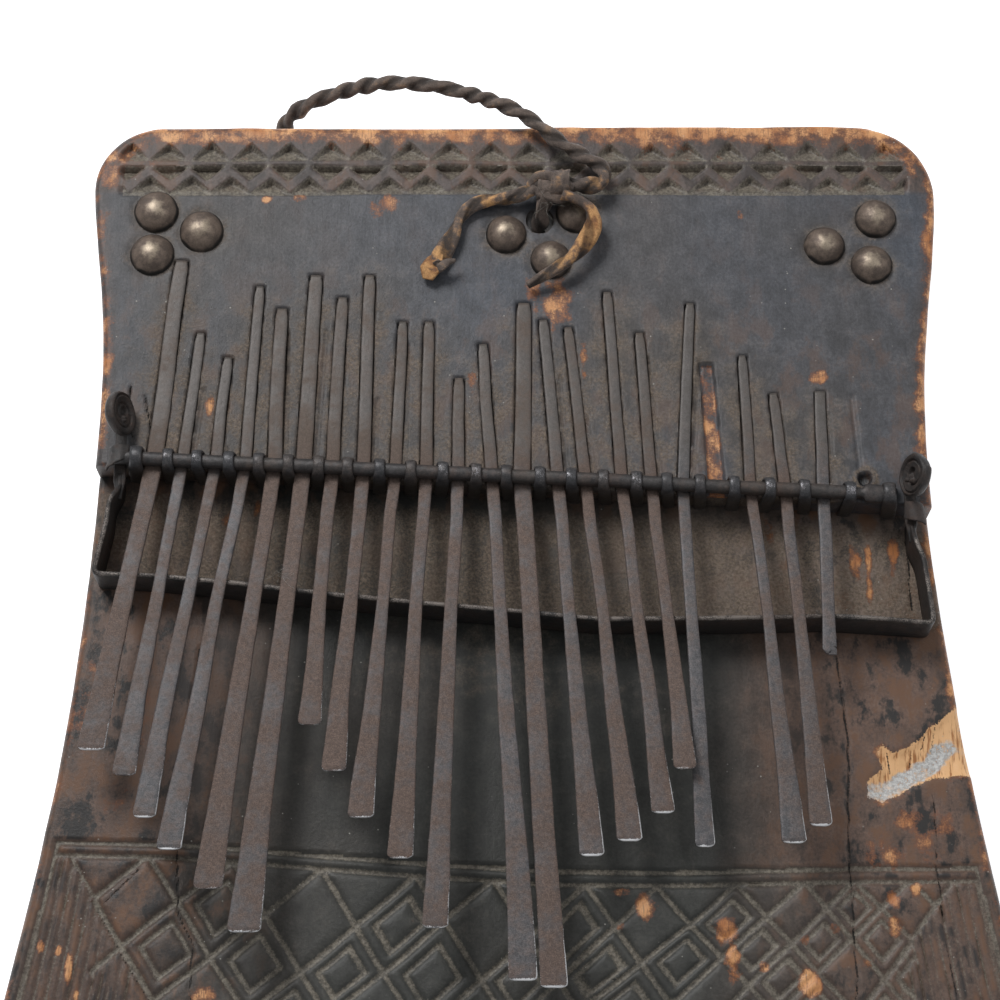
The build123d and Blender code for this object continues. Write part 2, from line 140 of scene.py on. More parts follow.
def line_distance(x, y, points):
    """Distance in plan to the nearest of a line's straight runs."""
    best = np.full(np.broadcast(x, y).shape, 1e9)
    for (ax, ay), (bx, by) in zip(points, points[1:]):
        dx, dy = bx - ax, by - ay
        t = np.clip(((x - ax) * dx + (y - ay) * dy) / (dx * dx + dy * dy), 0, 1)
        best = np.minimum(best, np.hypot(x - ax - t * dx, y - ay - t * dy))
    return best


def outline_distance(x, y, points):
    """Distance in plan to a closed outline, negative inside it."""
    ring = list(points) + [points[0]]
    inside = np.zeros(np.broadcast(x, y).shape, bool)
    for (ax, ay), (bx, by) in zip(ring, ring[1:]):
        crosses = (ay > y) != (by > y)
        inside ^= crosses & (x < (bx - ax) * (y - ay) / (by - ay + 1e-12) + ax)
    distance = line_distance(x, y, ring)
    return np.where(inside, -distance, distance)


def evened(points, step):
    """The same line with its points step apart."""
    points = np.asarray(points, float)
    along = np.concatenate([[0], np.cumsum(np.linalg.norm(np.diff(points, axis=0), axis=1))])
    places = np.linspace(0, along[-1], max(2, int(round(along[-1] / step)) + 1))
    return np.stack([np.interp(places, along, points[:, k]) for k in range(points.shape[1])], 1)


def softened(values, width):
    """A running average over about width entries, which keeps both ends where they are."""
    reach = int(3 * width) + 1
    kernel = np.exp(-0.5 * (np.arange(-reach, reach + 1) / width) ** 2)
    kernel /= kernel.sum()
    values = np.asarray(values, float)
    flat = values.reshape(len(values), -1)
    first = 2 * flat[0] - flat[reach:0:-1]
    last = 2 * flat[-1] - flat[-2 : -reach - 2 : -1]
    padded = np.concatenate([first, flat, last])
    out = np.stack([np.convolve(padded[:, k], kernel, "valid") for k in range(flat.shape[1])], 1)
    return out.reshape(values.shape)


def directions_along(points):
    """Two directions across a line at each of its points, which don't twist round it."""
    tangents = np.gradient(points, axis=0)
    tangents /= np.linalg.norm(tangents, axis=1, keepdims=True)
    side = np.cross(tangents[0], (0, 0, 1.0))
    if np.linalg.norm(side) < 0.1:
        side = np.cross(tangents[0], (0, 1.0, 0))
    sides = []
    for tangent in tangents:
        side = side - tangent * (side @ tangent)
        side = side / np.linalg.norm(side)
        sides.append(side)
    sides = np.array(sides)
    return sides, np.cross(sides, tangents)


def strip_directions(line, across):
    """The directions across and up of a flat strip along a line, the first as near as can be to across."""
    tangents = np.gradient(line, axis=0)
    tangents /= np.linalg.norm(tangents, axis=1, keepdims=True)
    across = np.asarray(across, float) - tangents * (across * tangents).sum(1, keepdims=True)
    across = across / np.linalg.norm(across, axis=1, keepdims=True)
    return across, np.cross(across, tangents)


def cad_mesh(node):
    """Points and edges of a CAD node, in millimetres."""
    mesh = frame["nodes"][node].data
    points = np.empty(len(mesh.vertices) * 3)
    mesh.vertices.foreach_get("co", points)
    edges = np.empty(len(mesh.edges) * 2, np.int32)
    mesh.edges.foreach_get("vertices", edges)
    return points.reshape(-1, 3) / MM, edges.reshape(-1, 2)


def slices(node, ys):
    """Lowest and highest x and z of a CAD node where upright planes across y cut it."""
    points, edges = cad_mesh(node)
    a, b = points[edges[:, 0]], points[edges[:, 1]]
    rows = []
    for y in ys:
        hit = ((a[:, 1] - y) * (b[:, 1] - y) <= 0) & (np.abs(a[:, 1] - b[:, 1]) > 1e-6)
        t = ((y - a[hit, 1]) / (b[hit, 1] - a[hit, 1]))[:, None]
        cut = a[hit] + t * (b[hit] - a[hit])
        rows.append([cut[:, 0].min(), cut[:, 0].max(), cut[:, 2].min(), cut[:, 2].max()])
    return np.array(rows)


def solids_of(node):
    """The separate solids of a CAD node, each as an array of points, from left to right."""
    points, edges = cad_mesh(node)
    # Points in one place count as one, because a node's faces may not share them.
    _, same = np.unique(np.round(points, 3), axis=0, return_inverse=True)
    same = same.reshape(-1)
    group = np.arange(same.max() + 1)
    ends = same[edges]
    while True:
        lowest = np.minimum(group[ends[:, 0]], group[ends[:, 1]])
        before = group.copy()
        np.minimum.at(group, ends[:, 0], lowest)
        np.minimum.at(group, ends[:, 1], lowest)
        if (group == before).all():
            break
    found = [points[group[same] == g] for g in np.unique(group)]
    return sorted(found, key=lambda p: p[:, 0].mean())


def mesh_object(name, points, faces, look, body="root", slot=None, replaces=(), fields=None):
    """A smooth-shaded piece from points in millimetres. fields are its per-point numbers or colours."""
    mesh = bpy.data.meshes.new(name)
    mesh.from_pydata((np.asarray(points) * MM).tolist(), [], faces)
    for key, values in (fields or {}).items():
        values = np.asarray(values, np.float32)
        if values.ndim == 2:
            values = np.concatenate([values, np.ones((len(values), 1), np.float32)], 1)
            mesh.attributes.new(key, "FLOAT_COLOR", "POINT").data.foreach_set("color", values.ravel())
        else:
            mesh.attributes.new(key, "FLOAT", "POINT").data.foreach_set("value", values)
    mesh.shade_smooth()
    mesh.materials.append(look)
    piece = bpy.data.objects.new(name, mesh)
    scene.collection.objects.link(piece)
    if body:
        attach(piece, body)
    if replaces:
        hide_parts(*replaces)
    return piece


def loft_faces(rows, ring):
    """Faces of a tube of rings, closed at both ends."""
    index = np.arange(rows * ring).reshape(rows, ring)
    first, second = index[:-1], index[1:]
    quads = np.stack([first, np.roll(first, -1, 1), np.roll(second, -1, 1), second], -1)
    return quads.reshape(-1, 4).tolist() + [index[0, ::-1].tolist(), index[-1].tolist()]


def outward(points, faces):
    """The faces, turned over if they face inwards."""
    points = np.asarray(points)
    volume = 0.0
    for face in faces:
        a = points[face[0]]
        for i in range(1, len(face) - 1):
            volume += a @ np.cross(points[face[i]], points[face[i + 1]])
    return faces if volume > 0 else [f[::-1] for f in faces]


def lofts(name, tubes, look, fields=None, **facts):
    """One piece of several lofted tubes, each an array of rows x ring x 3 points."""
    points, faces = [], []
    for tube in tubes:
        own = tube.reshape(-1, 3)
        made = outward(own, loft_faces(*tube.shape[:2]))
        start = sum(len(p) for p in points)
        faces += [[i + start for i in face] for face in made]
        points.append(own)
    return mesh_object(name, np.concatenate(points), faces, look, fields=fields, **facts)


# ---------------------------------------------------------------- materials
class Look:
    """One procedural material, built node by node. Its noise sizes are in millimetres."""

    def __init__(self, name):
        self.material = bpy.data.materials.new(name)
        self.material.use_nodes = True
        self.tree = self.material.node_tree
        self.tree.nodes.clear()
        self.shader = self.tree.nodes.new("ShaderNodeBsdfPrincipled")
        output = self.tree.nodes.new("ShaderNodeOutputMaterial")
        self.tree.links.new(self.shader.outputs[0], output.inputs[0])
        place = self.tree.nodes.new("ShaderNodeTexCoord").outputs["Object"]
        self.place = self.node("ShaderNodeVectorMath", "operation", "SCALE", {0: place, "Scale": 1 / MM})

    def node(self, kind, setting=None, choice=None, inputs=None):
        made = self.tree.nodes.new(kind)
        if setting:
            setattr(made, setting, choice)
        for key, value in (inputs or {}).items():
            self.plug(made.inputs[key], value)
        return made.outputs[0]

    def plug(self, socket, value):
        if isinstance(value, bpy.types.NodeSocket):
            self.tree.links.new(value, socket)
        elif isinstance(value, tuple) and len(value) == 3 and socket.type == "RGBA":
            socket.default_value = (*value, 1.0)
        else:
            socket.default_value = value

    def field(self, name, output="Fac"):
        """A number kept in the mesh, or a colour where output is Color."""
        made = self.tree.nodes.new("ShaderNodeAttribute")
        made.attribute_name = name
        return made.outputs[output]

    def noise(self, size, detail=4.0, roughness=0.55, stretch=None):
        """Noise of about 0.25 to 0.75. stretch divides how fast it changes along each axis."""
        place = self.place
        if stretch:
            factors = tuple(1 / s for s in stretch)
            place = self.node("ShaderNodeVectorMath", "operation", "MULTIPLY", {0: place, 1: factors})
        made = {"Vector": place, "Scale": 1 / size, "Detail": detail, "Roughness": roughness}
        return self.node("ShaderNodeTexNoise", inputs=made)

    def specks(self, size):
        """Distance to the nearest of scattered points, in cells."""
        return self.node("ShaderNodeTexVoronoi", inputs={"Vector": self.place, "Scale": 1 / size})

    def broken(self, value, noise, amount):
        """The value with up to amount added and taken away by a noise."""
        return self.sum(value, self.rise(noise, 0.3, 0.7, -amount, amount))

    def sum(self, a, b):
        return self.node("ShaderNodeMath", "operation", "ADD", {0: a, 1: b})

    def less(self, a, b):
        return self.node("ShaderNodeMath", "operation", "SUBTRACT", {0: a, 1: b})

    def times(self, a, b):
        return self.node("ShaderNodeMath", "operation", "MULTIPLY", {0: a, 1: b})

    def rise(self, value, low, high, to_low=0.0, to_high=1.0):
        """to_low below low and to_high above high, with a smooth rise between."""
        made = self.tree.nodes.new("ShaderNodeMapRange")
        made.interpolation_type = "SMOOTHSTEP"
        self.plug(made.inputs["Value"], value)
        for key, number in zip(("From Min", "From Max", "To Min", "To Max"), (low, high, to_low, to_high)):
            made.inputs[key].default_value = number
        return made.outputs["Result"]

    def mix(self, share, a, b):
        """Colour a where share is 0, colour b where it is 1."""
        made = self.tree.nodes.new("ShaderNodeMix")
        made.data_type = "RGBA"
        for socket, value in zip((made.inputs[0], made.inputs[6], made.inputs[7]), (share, a, b)):
            self.plug(socket, value)
        return made.outputs[2]

    def shade(self, colour, amount):
        """The colour, made lighter or darker by a factor."""
        return self.node("ShaderNodeVectorMath", "operation", "SCALE", {0: colour, "Scale": amount})

    def finish(self, colour, roughness, height=None, depth=0.1, metal=0.0, specular=0.5, **sockets):
        """Connects the shader. height is the bump, depth its size in millimetres."""
        self.plug(self.shader.inputs["Base Color"], colour)
        self.plug(self.shader.inputs["Roughness"], roughness)
        self.plug(self.shader.inputs["Metallic"], metal)
        self.shader.inputs["Specular IOR Level"].default_value = specular
        for key, value in sockets.items():
            self.shader.inputs[key.replace("_", " ")].default_value = value
        if height is not None:
            bump = self.tree.nodes.new("ShaderNodeBump")
            bump.inputs["Distance"].default_value = depth * MM
            bump.inputs["Strength"].default_value = 1.0
            self.tree.links.new(height, bump.inputs["Height"])
            self.tree.links.new(bump.outputs[0], self.shader.inputs["Normal"])
        return self.material


FAR = 9.0  # the wood keeps its distances to lines, cracks and torn places as FAR less the distance


def wood_look():
    """Blackened hardwood: its broad colour comes from the mesh, and worn, dusty, carved and torn places
    from numbers kept in the mesh, whose edges are broken up here."""
    look = Look("dark_hardwood")
    fine = look.noise(0.45, 3.0)
    speckle = look.noise(0.75, 5.0, 0.7)
    grain = look.noise(1.1, 5.0, 0.6, stretch=(1.0, 16.0, 4.0))
    pores = look.noise(0.32, 2.0, 0.5, stretch=(1.0, 9.0, 3.0))
    blotch = look.noise(5.0, 6.0, 0.62)
    cloud = look.noise(22.0, 4.0)
    colour = look.shade(look.field("base", "Color"), look.rise(blotch, 0.3, 0.72, 0.80, 1.22))
    colour = look.shade(colour, look.rise(grain, 0.3, 0.7, 0.96, 1.04))
    colour = look.shade(colour, look.rise(speckle, 0.32, 0.68, 0.80, 1.22))
    # Rust-brown and black patches show through where the wood is brown.
    mottle = look.noise(7.0, 6.0, 0.66, stretch=(1.0, 1.6, 1.0))
    warmth = look.field("warmth")
    colour = look.mix(look.times(look.rise(mottle, 0.49, 0.62), warmth), colour, (0.155, 0.080, 0.046))
    colour = look.mix(look.times(look.rise(mottle, 0.49, 0.40), warmth), colour, (0.024, 0.021, 0.020))
    # Fine dust lies in the hollows and along the tails.
    dusty = look.broken(look.field("dust"), blotch, 0.28)
    dusty = look.times(look.rise(dusty, 0.12, 0.95), look.rise(fine, 0.34, 0.60, 0.35, 1.0))
    dust_colour = look.mix(look.rise(speckle, 0.36, 0.64), (0.115, 0.088, 0.066), (0.235, 0.182, 0.138))
    colour = look.mix(dusty, colour, dust_colour)
    # Carved lines are filled with grey-green dust.
    filled = look.broken(look.less(FAR, look.field("line")), fine, 0.16)
    filled = look.times(look.rise(filled, 0.85, 0.38), look.rise(blotch, 0.28, 0.6, 0.40, 0.95))
    filling = look.mix(look.rise(speckle, 0.36, 0.64), (0.085, 0.073, 0.057), (0.225, 0.197, 0.155))
    colour = look.mix(filled, colour, filling)
    # Where handling has worn through the black, orange wood shows.
    bare = look.sum(look.field("bare"), look.rise(blotch, 0.25, 0.75, -0.34, 0.34))
    bare = look.broken(bare, fine, 0.08)
    rim_of_bare = look.rise(bare, 0.34, 0.60)
    heart_of_bare = look.rise(bare, 0.52, 0.90)
    colour = look.mix(look.times(rim_of_bare, 0.80), colour, (0.185, 0.070, 0.034))
    orange = look.mix(look.rise(mottle, 0.35, 0.65), (0.440, 0.170, 0.058), (0.760, 0.400, 0.180))
    colour = look.mix(look.times(heart_of_bare, look.rise(pores, 0.3, 0.5, 0.45, 1.0)), colour, orange)
    # A torn chip shows pale fibres, orange at its edges.
    torn = look.broken(look.less(FAR, look.field("chip")), fine, 0.25)
    fibre = look.noise(0.8, 4.0, 0.6, stretch=(1.0, 10.0, 2.0))
    pale = look.mix(look.rise(speckle, 0.38, 0.62), (0.300, 0.300, 0.300), (0.600, 0.590, 0.570))
    amber = look.mix(look.rise(fibre, 0.36, 0.50), (0.360, 0.150, 0.050), (0.800, 0.470, 0.230))
    heart = look.broken(look.field("heart"), blotch, 0.45)
    in_heart = look.times(look.rise(heart, 0.25, 0.8), look.rise(speckle, 0.30, 0.46))
    colour = look.mix(look.rise(torn, 0.10, -0.12), colour, look.mix(in_heart, amber, pale))
    # Cracks and loose specks of dust.
    split = look.broken(look.less(FAR, look.field("crack")), fine, 0.10)
    colour = look.mix(look.rise(split, 0.34, 0.14), colour, (0.006, 0.005, 0.004))
    speck = look.times(look.rise(look.specks(3.1), 0.075, 0.045), look.rise(cloud, 0.45, 0.6))
    colour = look.mix(look.times(speck, 0.7), colour, (0.42, 0.40, 0.36))
    roughness = look.rise(dusty, 0.0, 1.0, 0.47, 0.85)
    height = look.sum(look.times(grain, 0.18), look.times(speckle, 0.60))
    height = look.sum(height, look.times(pores, 0.08))
    height = look.sum(height, look.times(dusty, look.times(speckle, 1.1)))
    height = look.less(height, look.times(filled, look.times(fine, 0.6)))
    height = look.less(height, look.rise(split, 0.40, 0.10))
    return look.finish(colour, roughness, height, 0.16, specular=0.42)


def iron_look(name, dark, rust, pale, rusty, shine):
    """Hand-forged iron: dull scale with rust bloom, pits, and bare metal where it is rubbed."""
    look = Look(name)
    fine = look.noise(0.28, 3.0, 0.6)
    scale = look.noise(2.2, 5.0, 0.62)
    cloud = look.noise(11.0, 3.0)
    pitted = look.noise(0.9, 5.0, 0.7)
    colour = look.mix(look.rise(scale, 0.36, 0.66), dark, tuple(1.5 * c for c in dark))
    bloom = look.broken(look.field("rust"), cloud, 0.20)
    bloom = look.rise(look.broken(bloom, scale, 0.26), -0.1, 1.1 - rusty * 0.3)
    colour = look.mix(bloom, colour, rust)
    colour = look.shade(colour, look.rise(fine, 0.32, 0.68, 0.72, 1.30))
    colour = look.shade(colour, look.rise(pitted, 0.34, 0.66, 0.84, 1.18))
    # Bare metal shows where it is rubbed or filed.
    rubbed = look.broken(look.field("rubbed"), fine, 0.22)
    rubbed = look.rise(look.broken(rubbed, scale, 0.18), 0.42, 0.72)
    colour = look.mix(rubbed, colour, pale)
    dirt = look.rise(look.field("dirt"), 0.1, 1.0)
    colour = look.mix(look.times(dirt, 0.75), colour, (0.105, 0.085, 0.066))
    roughness = look.rise(look.broken(bloom, fine, 0.2), 0.0, 1.0, shine, shine + 0.20)
    metal = look.rise(rubbed, 0.0, 1.0, 0.30, 0.90)
    height = look.sum(look.times(scale, 0.5), look.times(pitted, 0.7))
    return look.finish(colour, roughness, height, 0.12, metal, specular=0.5)


def brass_look():
    """Old brass: brown-grey tarnish, dark dirt round the foot, lighter where fingers rub the crown."""
    look = Look("aged_brass")
    fine = look.noise(0.35, 3.0)
    blotch = look.noise(2.6, 5.0, 0.6)
    crown = look.broken(look.field("rubbed"), blotch, 0.32)
    colour = look.mix(look.rise(blotch, 0.35, 0.65), (0.120, 0.092, 0.076), (0.210, 0.160, 0.128))
    colour = look.mix(look.rise(crown, 0.25, 0.95), colour, (0.330, 0.270, 0.205))
    colour = look.mix(look.rise(look.field("dirt"), 0.25, 0.85), colour, (0.030, 0.027, 0.025))
    colour = look.shade(colour, look.rise(fine, 0.3, 0.7, 0.88, 1.12))
    roughness = look.rise(crown, 0.0, 1.0, 0.60, 0.46)
    height = look.sum(look.times(blotch, 0.7), look.times(fine, 0.3))
    return look.finish(colour, roughness, height, 0.08, 0.60)


def hide_look():
    """Dry twisted hide: grey-brown outside, tan to orange where it is frayed, with lengthwise fibres and
    painted shade in its creases.
    """
    look = Look("hide_thong")
    fine = look.noise(0.30, 4.0, 0.6)
    blotch = look.noise(3.2, 5.0, 0.6)
    fibres = look.field("fibre")
    colour = look.mix(look.rise(blotch, 0.32, 0.68), (0.085, 0.064, 0.054), (0.175, 0.134, 0.112))
    tan = look.mix(look.rise(blotch, 0.38, 0.60), (0.270, 0.118, 0.044), (0.520, 0.285, 0.120))
    frayed = look.broken(look.field("frayed"), blotch, 0.3)
    colour = look.mix(look.rise(frayed, 0.25, 0.80), colour, tan)
    # Low fibre numbers darken the hide: painted shade in the creases between plies, in the dips of wrinkles
    # and inside the knot, along with fibre streaks.
    colour = look.shade(colour, look.rise(fibres, 0.0, 1.0, 0.40, 1.15))
    colour = look.shade(colour, look.rise(fine, 0.3, 0.7, 0.78, 1.22))
    height = look.sum(look.times(fine, 0.5), look.times(blotch, 0.9))
    return look.finish(colour, 0.78, height, 0.30, specular=0.3, Sheen_Weight=0.15)


def lint_look():
    look = Look("lint")
    fluff = look.noise(1.2, 3.0)
    colour = look.mix(look.rise(fluff, 0.35, 0.65), (0.16, 0.15, 0.13), (0.40, 0.38, 0.34))
    return look.finish(colour, 0.9, fluff, 0.02)


WOOD = wood_look()
TINE_IRON = iron_look(
    "tine_iron", (0.080, 0.078, 0.082), (0.128, 0.090, 0.074), (0.62, 0.62, 0.63), 0.5, 0.50
)
BAR_IRON = iron_look(
    "forged_iron", (0.036, 0.034, 0.035), (0.080, 0.052, 0.040), (0.20, 0.19, 0.19), 0.2, 0.48
)
HOOP_IRON = iron_look(
    "hoop_iron", (0.050, 0.050, 0.054), (0.085, 0.066, 0.056), (0.34, 0.33, 0.35), 0.2, 0.42
)
# The strap's iron is darker than the other iron: painted shade on its front face, which faces away from the
# key light.
SHADED_STRAP_IRON = iron_look(
    "strap_iron", (0.026, 0.025, 0.025), (0.058, 0.038, 0.030), (0.25, 0.22, 0.20), 0.4, 0.55
)
BRASS = brass_look()
HIDE = hide_look()
LINT = lint_look()


# ---------------------------------------------------------------- thong
THONG_DIAMETER = 3.6
KNOT_CENTRE = np.array((10.0, 108.3, FACE_Z + 5.6))
# Control points of the three strands: the loop leaves the knot, folds back, crosses the far edge, hangs round
# behind it and comes up through the hole; the two tails leave the knot.
LOOP_ROUTE = [
    (13.8, 108.4, 40.8),
    (21.8, 107.8, 40.4),
    (23.2, 112.8, 40.4),
    (17.6, 116.2, 40.6),
    (11.4, 120.2, 40.8),
    (6.4, 125.0, 40.8),
    (1.0, 129.6, 39.8),
    (-8.5, 134.4, 38.2),
    (-21.2, 138.9, 36.4),
    (-33.9, 140.4, 34.6),
    (-46.0, 138.4, 32.2),
    (-55.0, 136.4, 28.0),
    (-60.0, 133.6, 21.6),
    (-57.4, 126.0, 16.0),
    (-46.5, 116.5, 14.6),
    (-30.0, 108.5, 14.4),
    (-12.5, 103.2, 14.6),
    (-1.0, 101.3, 14.8),
    (5.4, 101.0, 18.4),
    (6.5, 101.0, 26.0),
    (6.4, 100.7, 35.4),
    (8.2, 105.8, 40.2),
]
LEFT_TAIL_ROUTE = [
    (5.4, 107.4, 40.6),
    (-0.6, 105.6, 38.6),
    (-8.2, 105.6, 38.0),
    (-13.0, 102.0, 37.9),
    (-15.6, 94.4, 37.9),
    (-20.4, 86.0, 37.9),
]
RIGHT_TAIL_ROUTE = [
    (12.0, 105.2, 42.6),
    (18.8, 103.2, 41.6),
    (20.2, 97.2, 41.0),
    (16.8, 91.0, 41.2),
    (11.4, 86.0, 41.0),
    (3.4, 82.2, 38.4),
]


def spline_points(route):
    """Points along a NURBS spline that has the route as its control points."""
    curve = bpy.data.curves.new("route", "CURVE")
    curve.dimensions = "3D"
    curve.resolution_u = 24
    spline = curve.splines.new("NURBS")
    spline.points.add(len(route) - 1)
    for point, place in zip(spline.points, route):
        point.co = (*(c * MM for c in place), 1.0)
    spline.order_u = 3
    spline.use_endpoint_u = True
    holder = bpy.data.objects.new("route", curve)
    mesh = bpy.data.meshes.new_from_object(holder)
    points = np.array([v.co for v in mesh.vertices]) / MM
    bpy.data.objects.remove(holder)
    bpy.data.curves.remove(curve)
    bpy.data.meshes.remove(mesh)
    return points


def strand(points, width, lay, offset, lobe, seed, flatten, ring=28):
    """Rows of a two-ply twist along a line, with how deep in the crease each point lies.
    lay is the length of one full turn. flatten gives, for each row, a factor along and across the twist."""
    sides, ups = directions_along(points)
    along = np.concatenate([[0], np.cumsum(np.linalg.norm(np.diff(points, axis=0), axis=1))])
    turn = 2 * np.pi * along / lay + 1.1 * lumps(along, 0, 11.0, seed)
    angle = np.linspace(0, 2 * np.pi, ring, endpoint=False)[None, :]
    from_lobe = angle - turn[:, None]
    reach = offset * np.abs(np.cos(from_lobe)) + np.sqrt(lobe**2 - (offset * np.sin(from_lobe)) ** 2)
    reach = reach / (offset + lobe) * 1.16
    wraps = angle * 4.0
    fibres = 0.07 * rough(along[:, None] * 0.35 + wraps, wraps * 2.2, 0.9, seed + 3)
    lumpy = 0.12 * lumps(along[:, None], np.sin(from_lobe), 3.0, seed + 5)
    radius = width / 2 * (reach + fibres + lumpy)
    x = radius * np.cos(angle) * flatten[0][:, None]
    y = radius * np.sin(angle) * flatten[1][:, None]
    rows = points[:, None, :] + x[..., None] * sides[:, None, :] + y[..., None] * ups[:, None, :]
    # crease is low between the plies, where the hide is then painted darker: painted shade in the creases.
    crease = smooth_step(0.86, 1.06, reach) * (0.75 + 3.0 * fibres)
    return rows, np.clip(crease, 0, 1)


def thong_piece(name, points, flatten, frayed, seed, lay):
    """One strand of the thong."""
    rows, fibre = strand(points, THONG_DIAMETER, lay, 0.58, 1.08, seed, flatten)
    count = rows.shape[1]
    fields = {"fibre": fibre.ravel(), "frayed": np.repeat(frayed, count)}
    piece = lofts(name + "_twist", [rows], HIDE, fields, slot="hide_thong", replaces=[name])
    return piece


def hide_piece(name, made, **facts):
    """One piece of several bands, each given as its rows, its fibres and how frayed it is."""
    tubes, fibres, frays = zip(*made)
    fields = {
        "fibre": np.concatenate([fibre.ravel() for fibre in fibres]),
        "frayed": np.concatenate([np.full(fibre.size, frayed) for fibre, frayed in zip(fibres, frays)]),
    }
    return lofts(name, tubes, HIDE, fields, slot="hide_thong", **facts)


BAND_STEP = 0.3


def hide_band(line, across, width, thickness, seed):
    """Rows of a dry flat strip of hide along a line, cupped across its width, and the fibres of each point,
    lower where wrinkles thin the strip, which paints shade in their dips.
    width is one number, or several spread evenly along the line."""
    line = softened(evened(line, BAND_STEP), 2.5)
    count = len(line)
    across, up = strip_directions(line, across)
    along = np.arange(count)[:, None] * BAND_STEP
    angle = np.linspace(0, 2 * np.pi, 26, endpoint=False)[None, :]
    u = np.sign(np.cos(angle)) * np.abs(np.cos(angle)) ** 0.75
    v = np.sign(np.sin(angle)) * np.abs(np.sin(angle)) ** 0.75
    if np.ndim(width):
        width = np.interp(np.linspace(0, 1, count), np.linspace(0, 1, len(width)), width)[:, None]
    creases = rough(along * 0.4 + 3 * u, 6.0 * u, 1.6, seed, 3)
    wide = width / 2 * u * (1 + 0.10 * rough(along, np.sign(u), 2.5, seed + 1, 2))
    tall = thickness / 2 * v * (1 + 0.30 * creases) - 0.10 * width * (u**2)
    rows = line[:, None, :] + wide[..., None] * across[:, None, :] + tall[..., None] * up[:, None, :]
    # The fibre number falls where the wrinkles thin the strip: painted shade in their dips.
    fibre = 0.62 + 0.45 * creases + 0 * v
    return rows, np.clip(fibre, 0, 1)


def build_knot():
    """An overhand knot: a wide wrap of the thong round its standing part, with bights tucked under it."""
    c = KNOT_CENTRE
    turn = np.linspace(-0.9, 2 * np.pi * 0.92, 60)
    wrap = c + np.stack([1.6 - 0.25 * turn, 3.1 * np.cos(turn + 1.1), 2.7 * np.sin(turn + 1.1) - 0.5], 1)
    side, up = -0.6 + 2.7 * np.cos(turn + 0.4), 2.2 * np.sin(turn + 0.4) - 1.0
    second = c + np.stack([-2.0 - 0.2 * turn, side, up], 1)
    over = c + np.array(
        [(4.6, -1.4, 0.4), (2.2, -0.6, 2.0), (-1.4, 1.5, 2.1), (-4.4, 1.9, 0.8), (-6.2, 0.4, -1.6)]
    )
    under = c + np.array(
        [(4.2, -2.6, -1.4), (1.2, -4.3, 0.0), (-2.2, -3.4, 0.6), (-5.2, -1.2, -0.6), (-6.6, -0.4, -2.4)]
    )
    down = c + np.array([(-1.0, -2.0, 1.0), (-2.4, -4.4, -0.6), (-3.2, -5.8, -3.2), (-3.4, -6.6, -5.0)])
    made = [
        (*hide_band(wrap, (1, 0.1, 0), 4.6, 1.3, 41), 0.16),
        (*hide_band(second, (1, -0.2, 0.2), 3.4, 1.2, 42), 0.08),
        (*hide_band(over, (0.3, 1, 0.2), 2.6, 1.5, 43), 0.26),
        (*hide_band(under, (0.2, 1, 0.6), 2.5, 1.4, 44), 0.05),
        (*hide_band(down, (1, 0.3, 0), 2.8, 1.2, 45), 0.0),
    ]
    # What fills the middle of the knot; its low fibre number makes it dark, painted shade deep in the knot.
    angle = np.linspace(0, 2 * np.pi, 30, endpoint=False)[None, :]
    t = np.linspace(-0.98, 0.98, 36)[:, None]
    radius = 2.5 * np.sqrt(1 - t**2) * (1 + 0.12 * lumps(3 * t, np.sin(angle) * 2, 0.6, 9))
    core = c + np.stack([5.4 * t + 0 * angle, radius * np.cos(angle), radius * np.sin(angle) - 0.9], -1)
    made.append((core, np.full(core.shape[:2], 0.15), 0.0))
    return hide_piece("thong_knot_wraps", made, replaces=["thong_knot"])


def build_thong_end():
    """The broad end of the left tail: a tan pad of hide with a dark lip curled over it."""
    tip = np.array(LEFT_TAIL_ROUTE[-1])
    pad = tip + np.array([(2.2, 4.6, 0.3), (0.6, 2.0, 0.5), (-0.4, -0.2, 0.3), (-0.8, -1.9, -0.3)])
    lip = tip + np.array(
        [(2.3, 2.6, 0.9), (1.6, 0.4, 1.6), (2.8, 0.8, 2.4), (4.6, 2.0, 2.6), (5.9, 2.2, 1.9)]
    )
    made = [
        (*hide_band(pad, (1, -0.3, 0.2), (2.4, 4.4, 5.2, 2.6), 1.5, 46), 0.78),
        (*hide_band(lip, (0.5, -1, 0.3), (1.6, 3.4, 3.0, 2.0, 0.9), 1.0, 47), 0.12),
    ]
    hide_piece("thong_tail_left_end", made)


def build_thong():
    knot = build_knot()
    loop = spline_points(LOOP_ROUTE)
    share = np.linspace(0, 1, len(loop))
    even = np.ones(len(loop))
    frayed = 0.12 + 0.30 * np.exp(-((share - 0.035) / 0.03) ** 2)
    thong_piece("thong_loop", loop, (even, even), frayed, 11, 13.0)
    # The left tail is two flattened plies that open into a broad curled end.
    left = spline_points(LEFT_TAIL_ROUTE)
    share = np.linspace(0, 1, len(left))
    wide = 0.92 + 0.30 * smooth_step(0.72, 0.95, share)
    thin = 0.90 - 0.20 * smooth_step(0.25, 0.6, share) - 0.10 * smooth_step(0.85, 1.0, share)
    frayed = 0.30 + 0.25 * np.exp(-((share - 0.3) / 0.1) ** 2) + 0.25 * smooth_step(0.8, 0.98, share)
    thong_piece("thong_tail_left", left, (wide, thin), frayed, 12, 30.0)
    build_thong_end()
    # The right tail is a frayed ribbon that narrows to a point.
    right = spline_points(RIGHT_TAIL_ROUTE)
    share = np.linspace(0, 1, len(right))
    wide = 1.0 + 0.22 * np.exp(-((share - 0.5) / 0.22) ** 2) - 0.42 * smooth_step(0.72, 1.0, share)
    thin = 0.88 - 0.25 * smooth_step(0.5, 1.0, share)
    frayed = 0.42 + 0.45 * np.exp(-((share - 0.42) / 0.24) ** 2) - 0.30 * smooth_step(0.78, 1.0, share)
    thong_piece("thong_tail_right", right, (wide, thin), frayed, 13, 26.0)


build_thong()

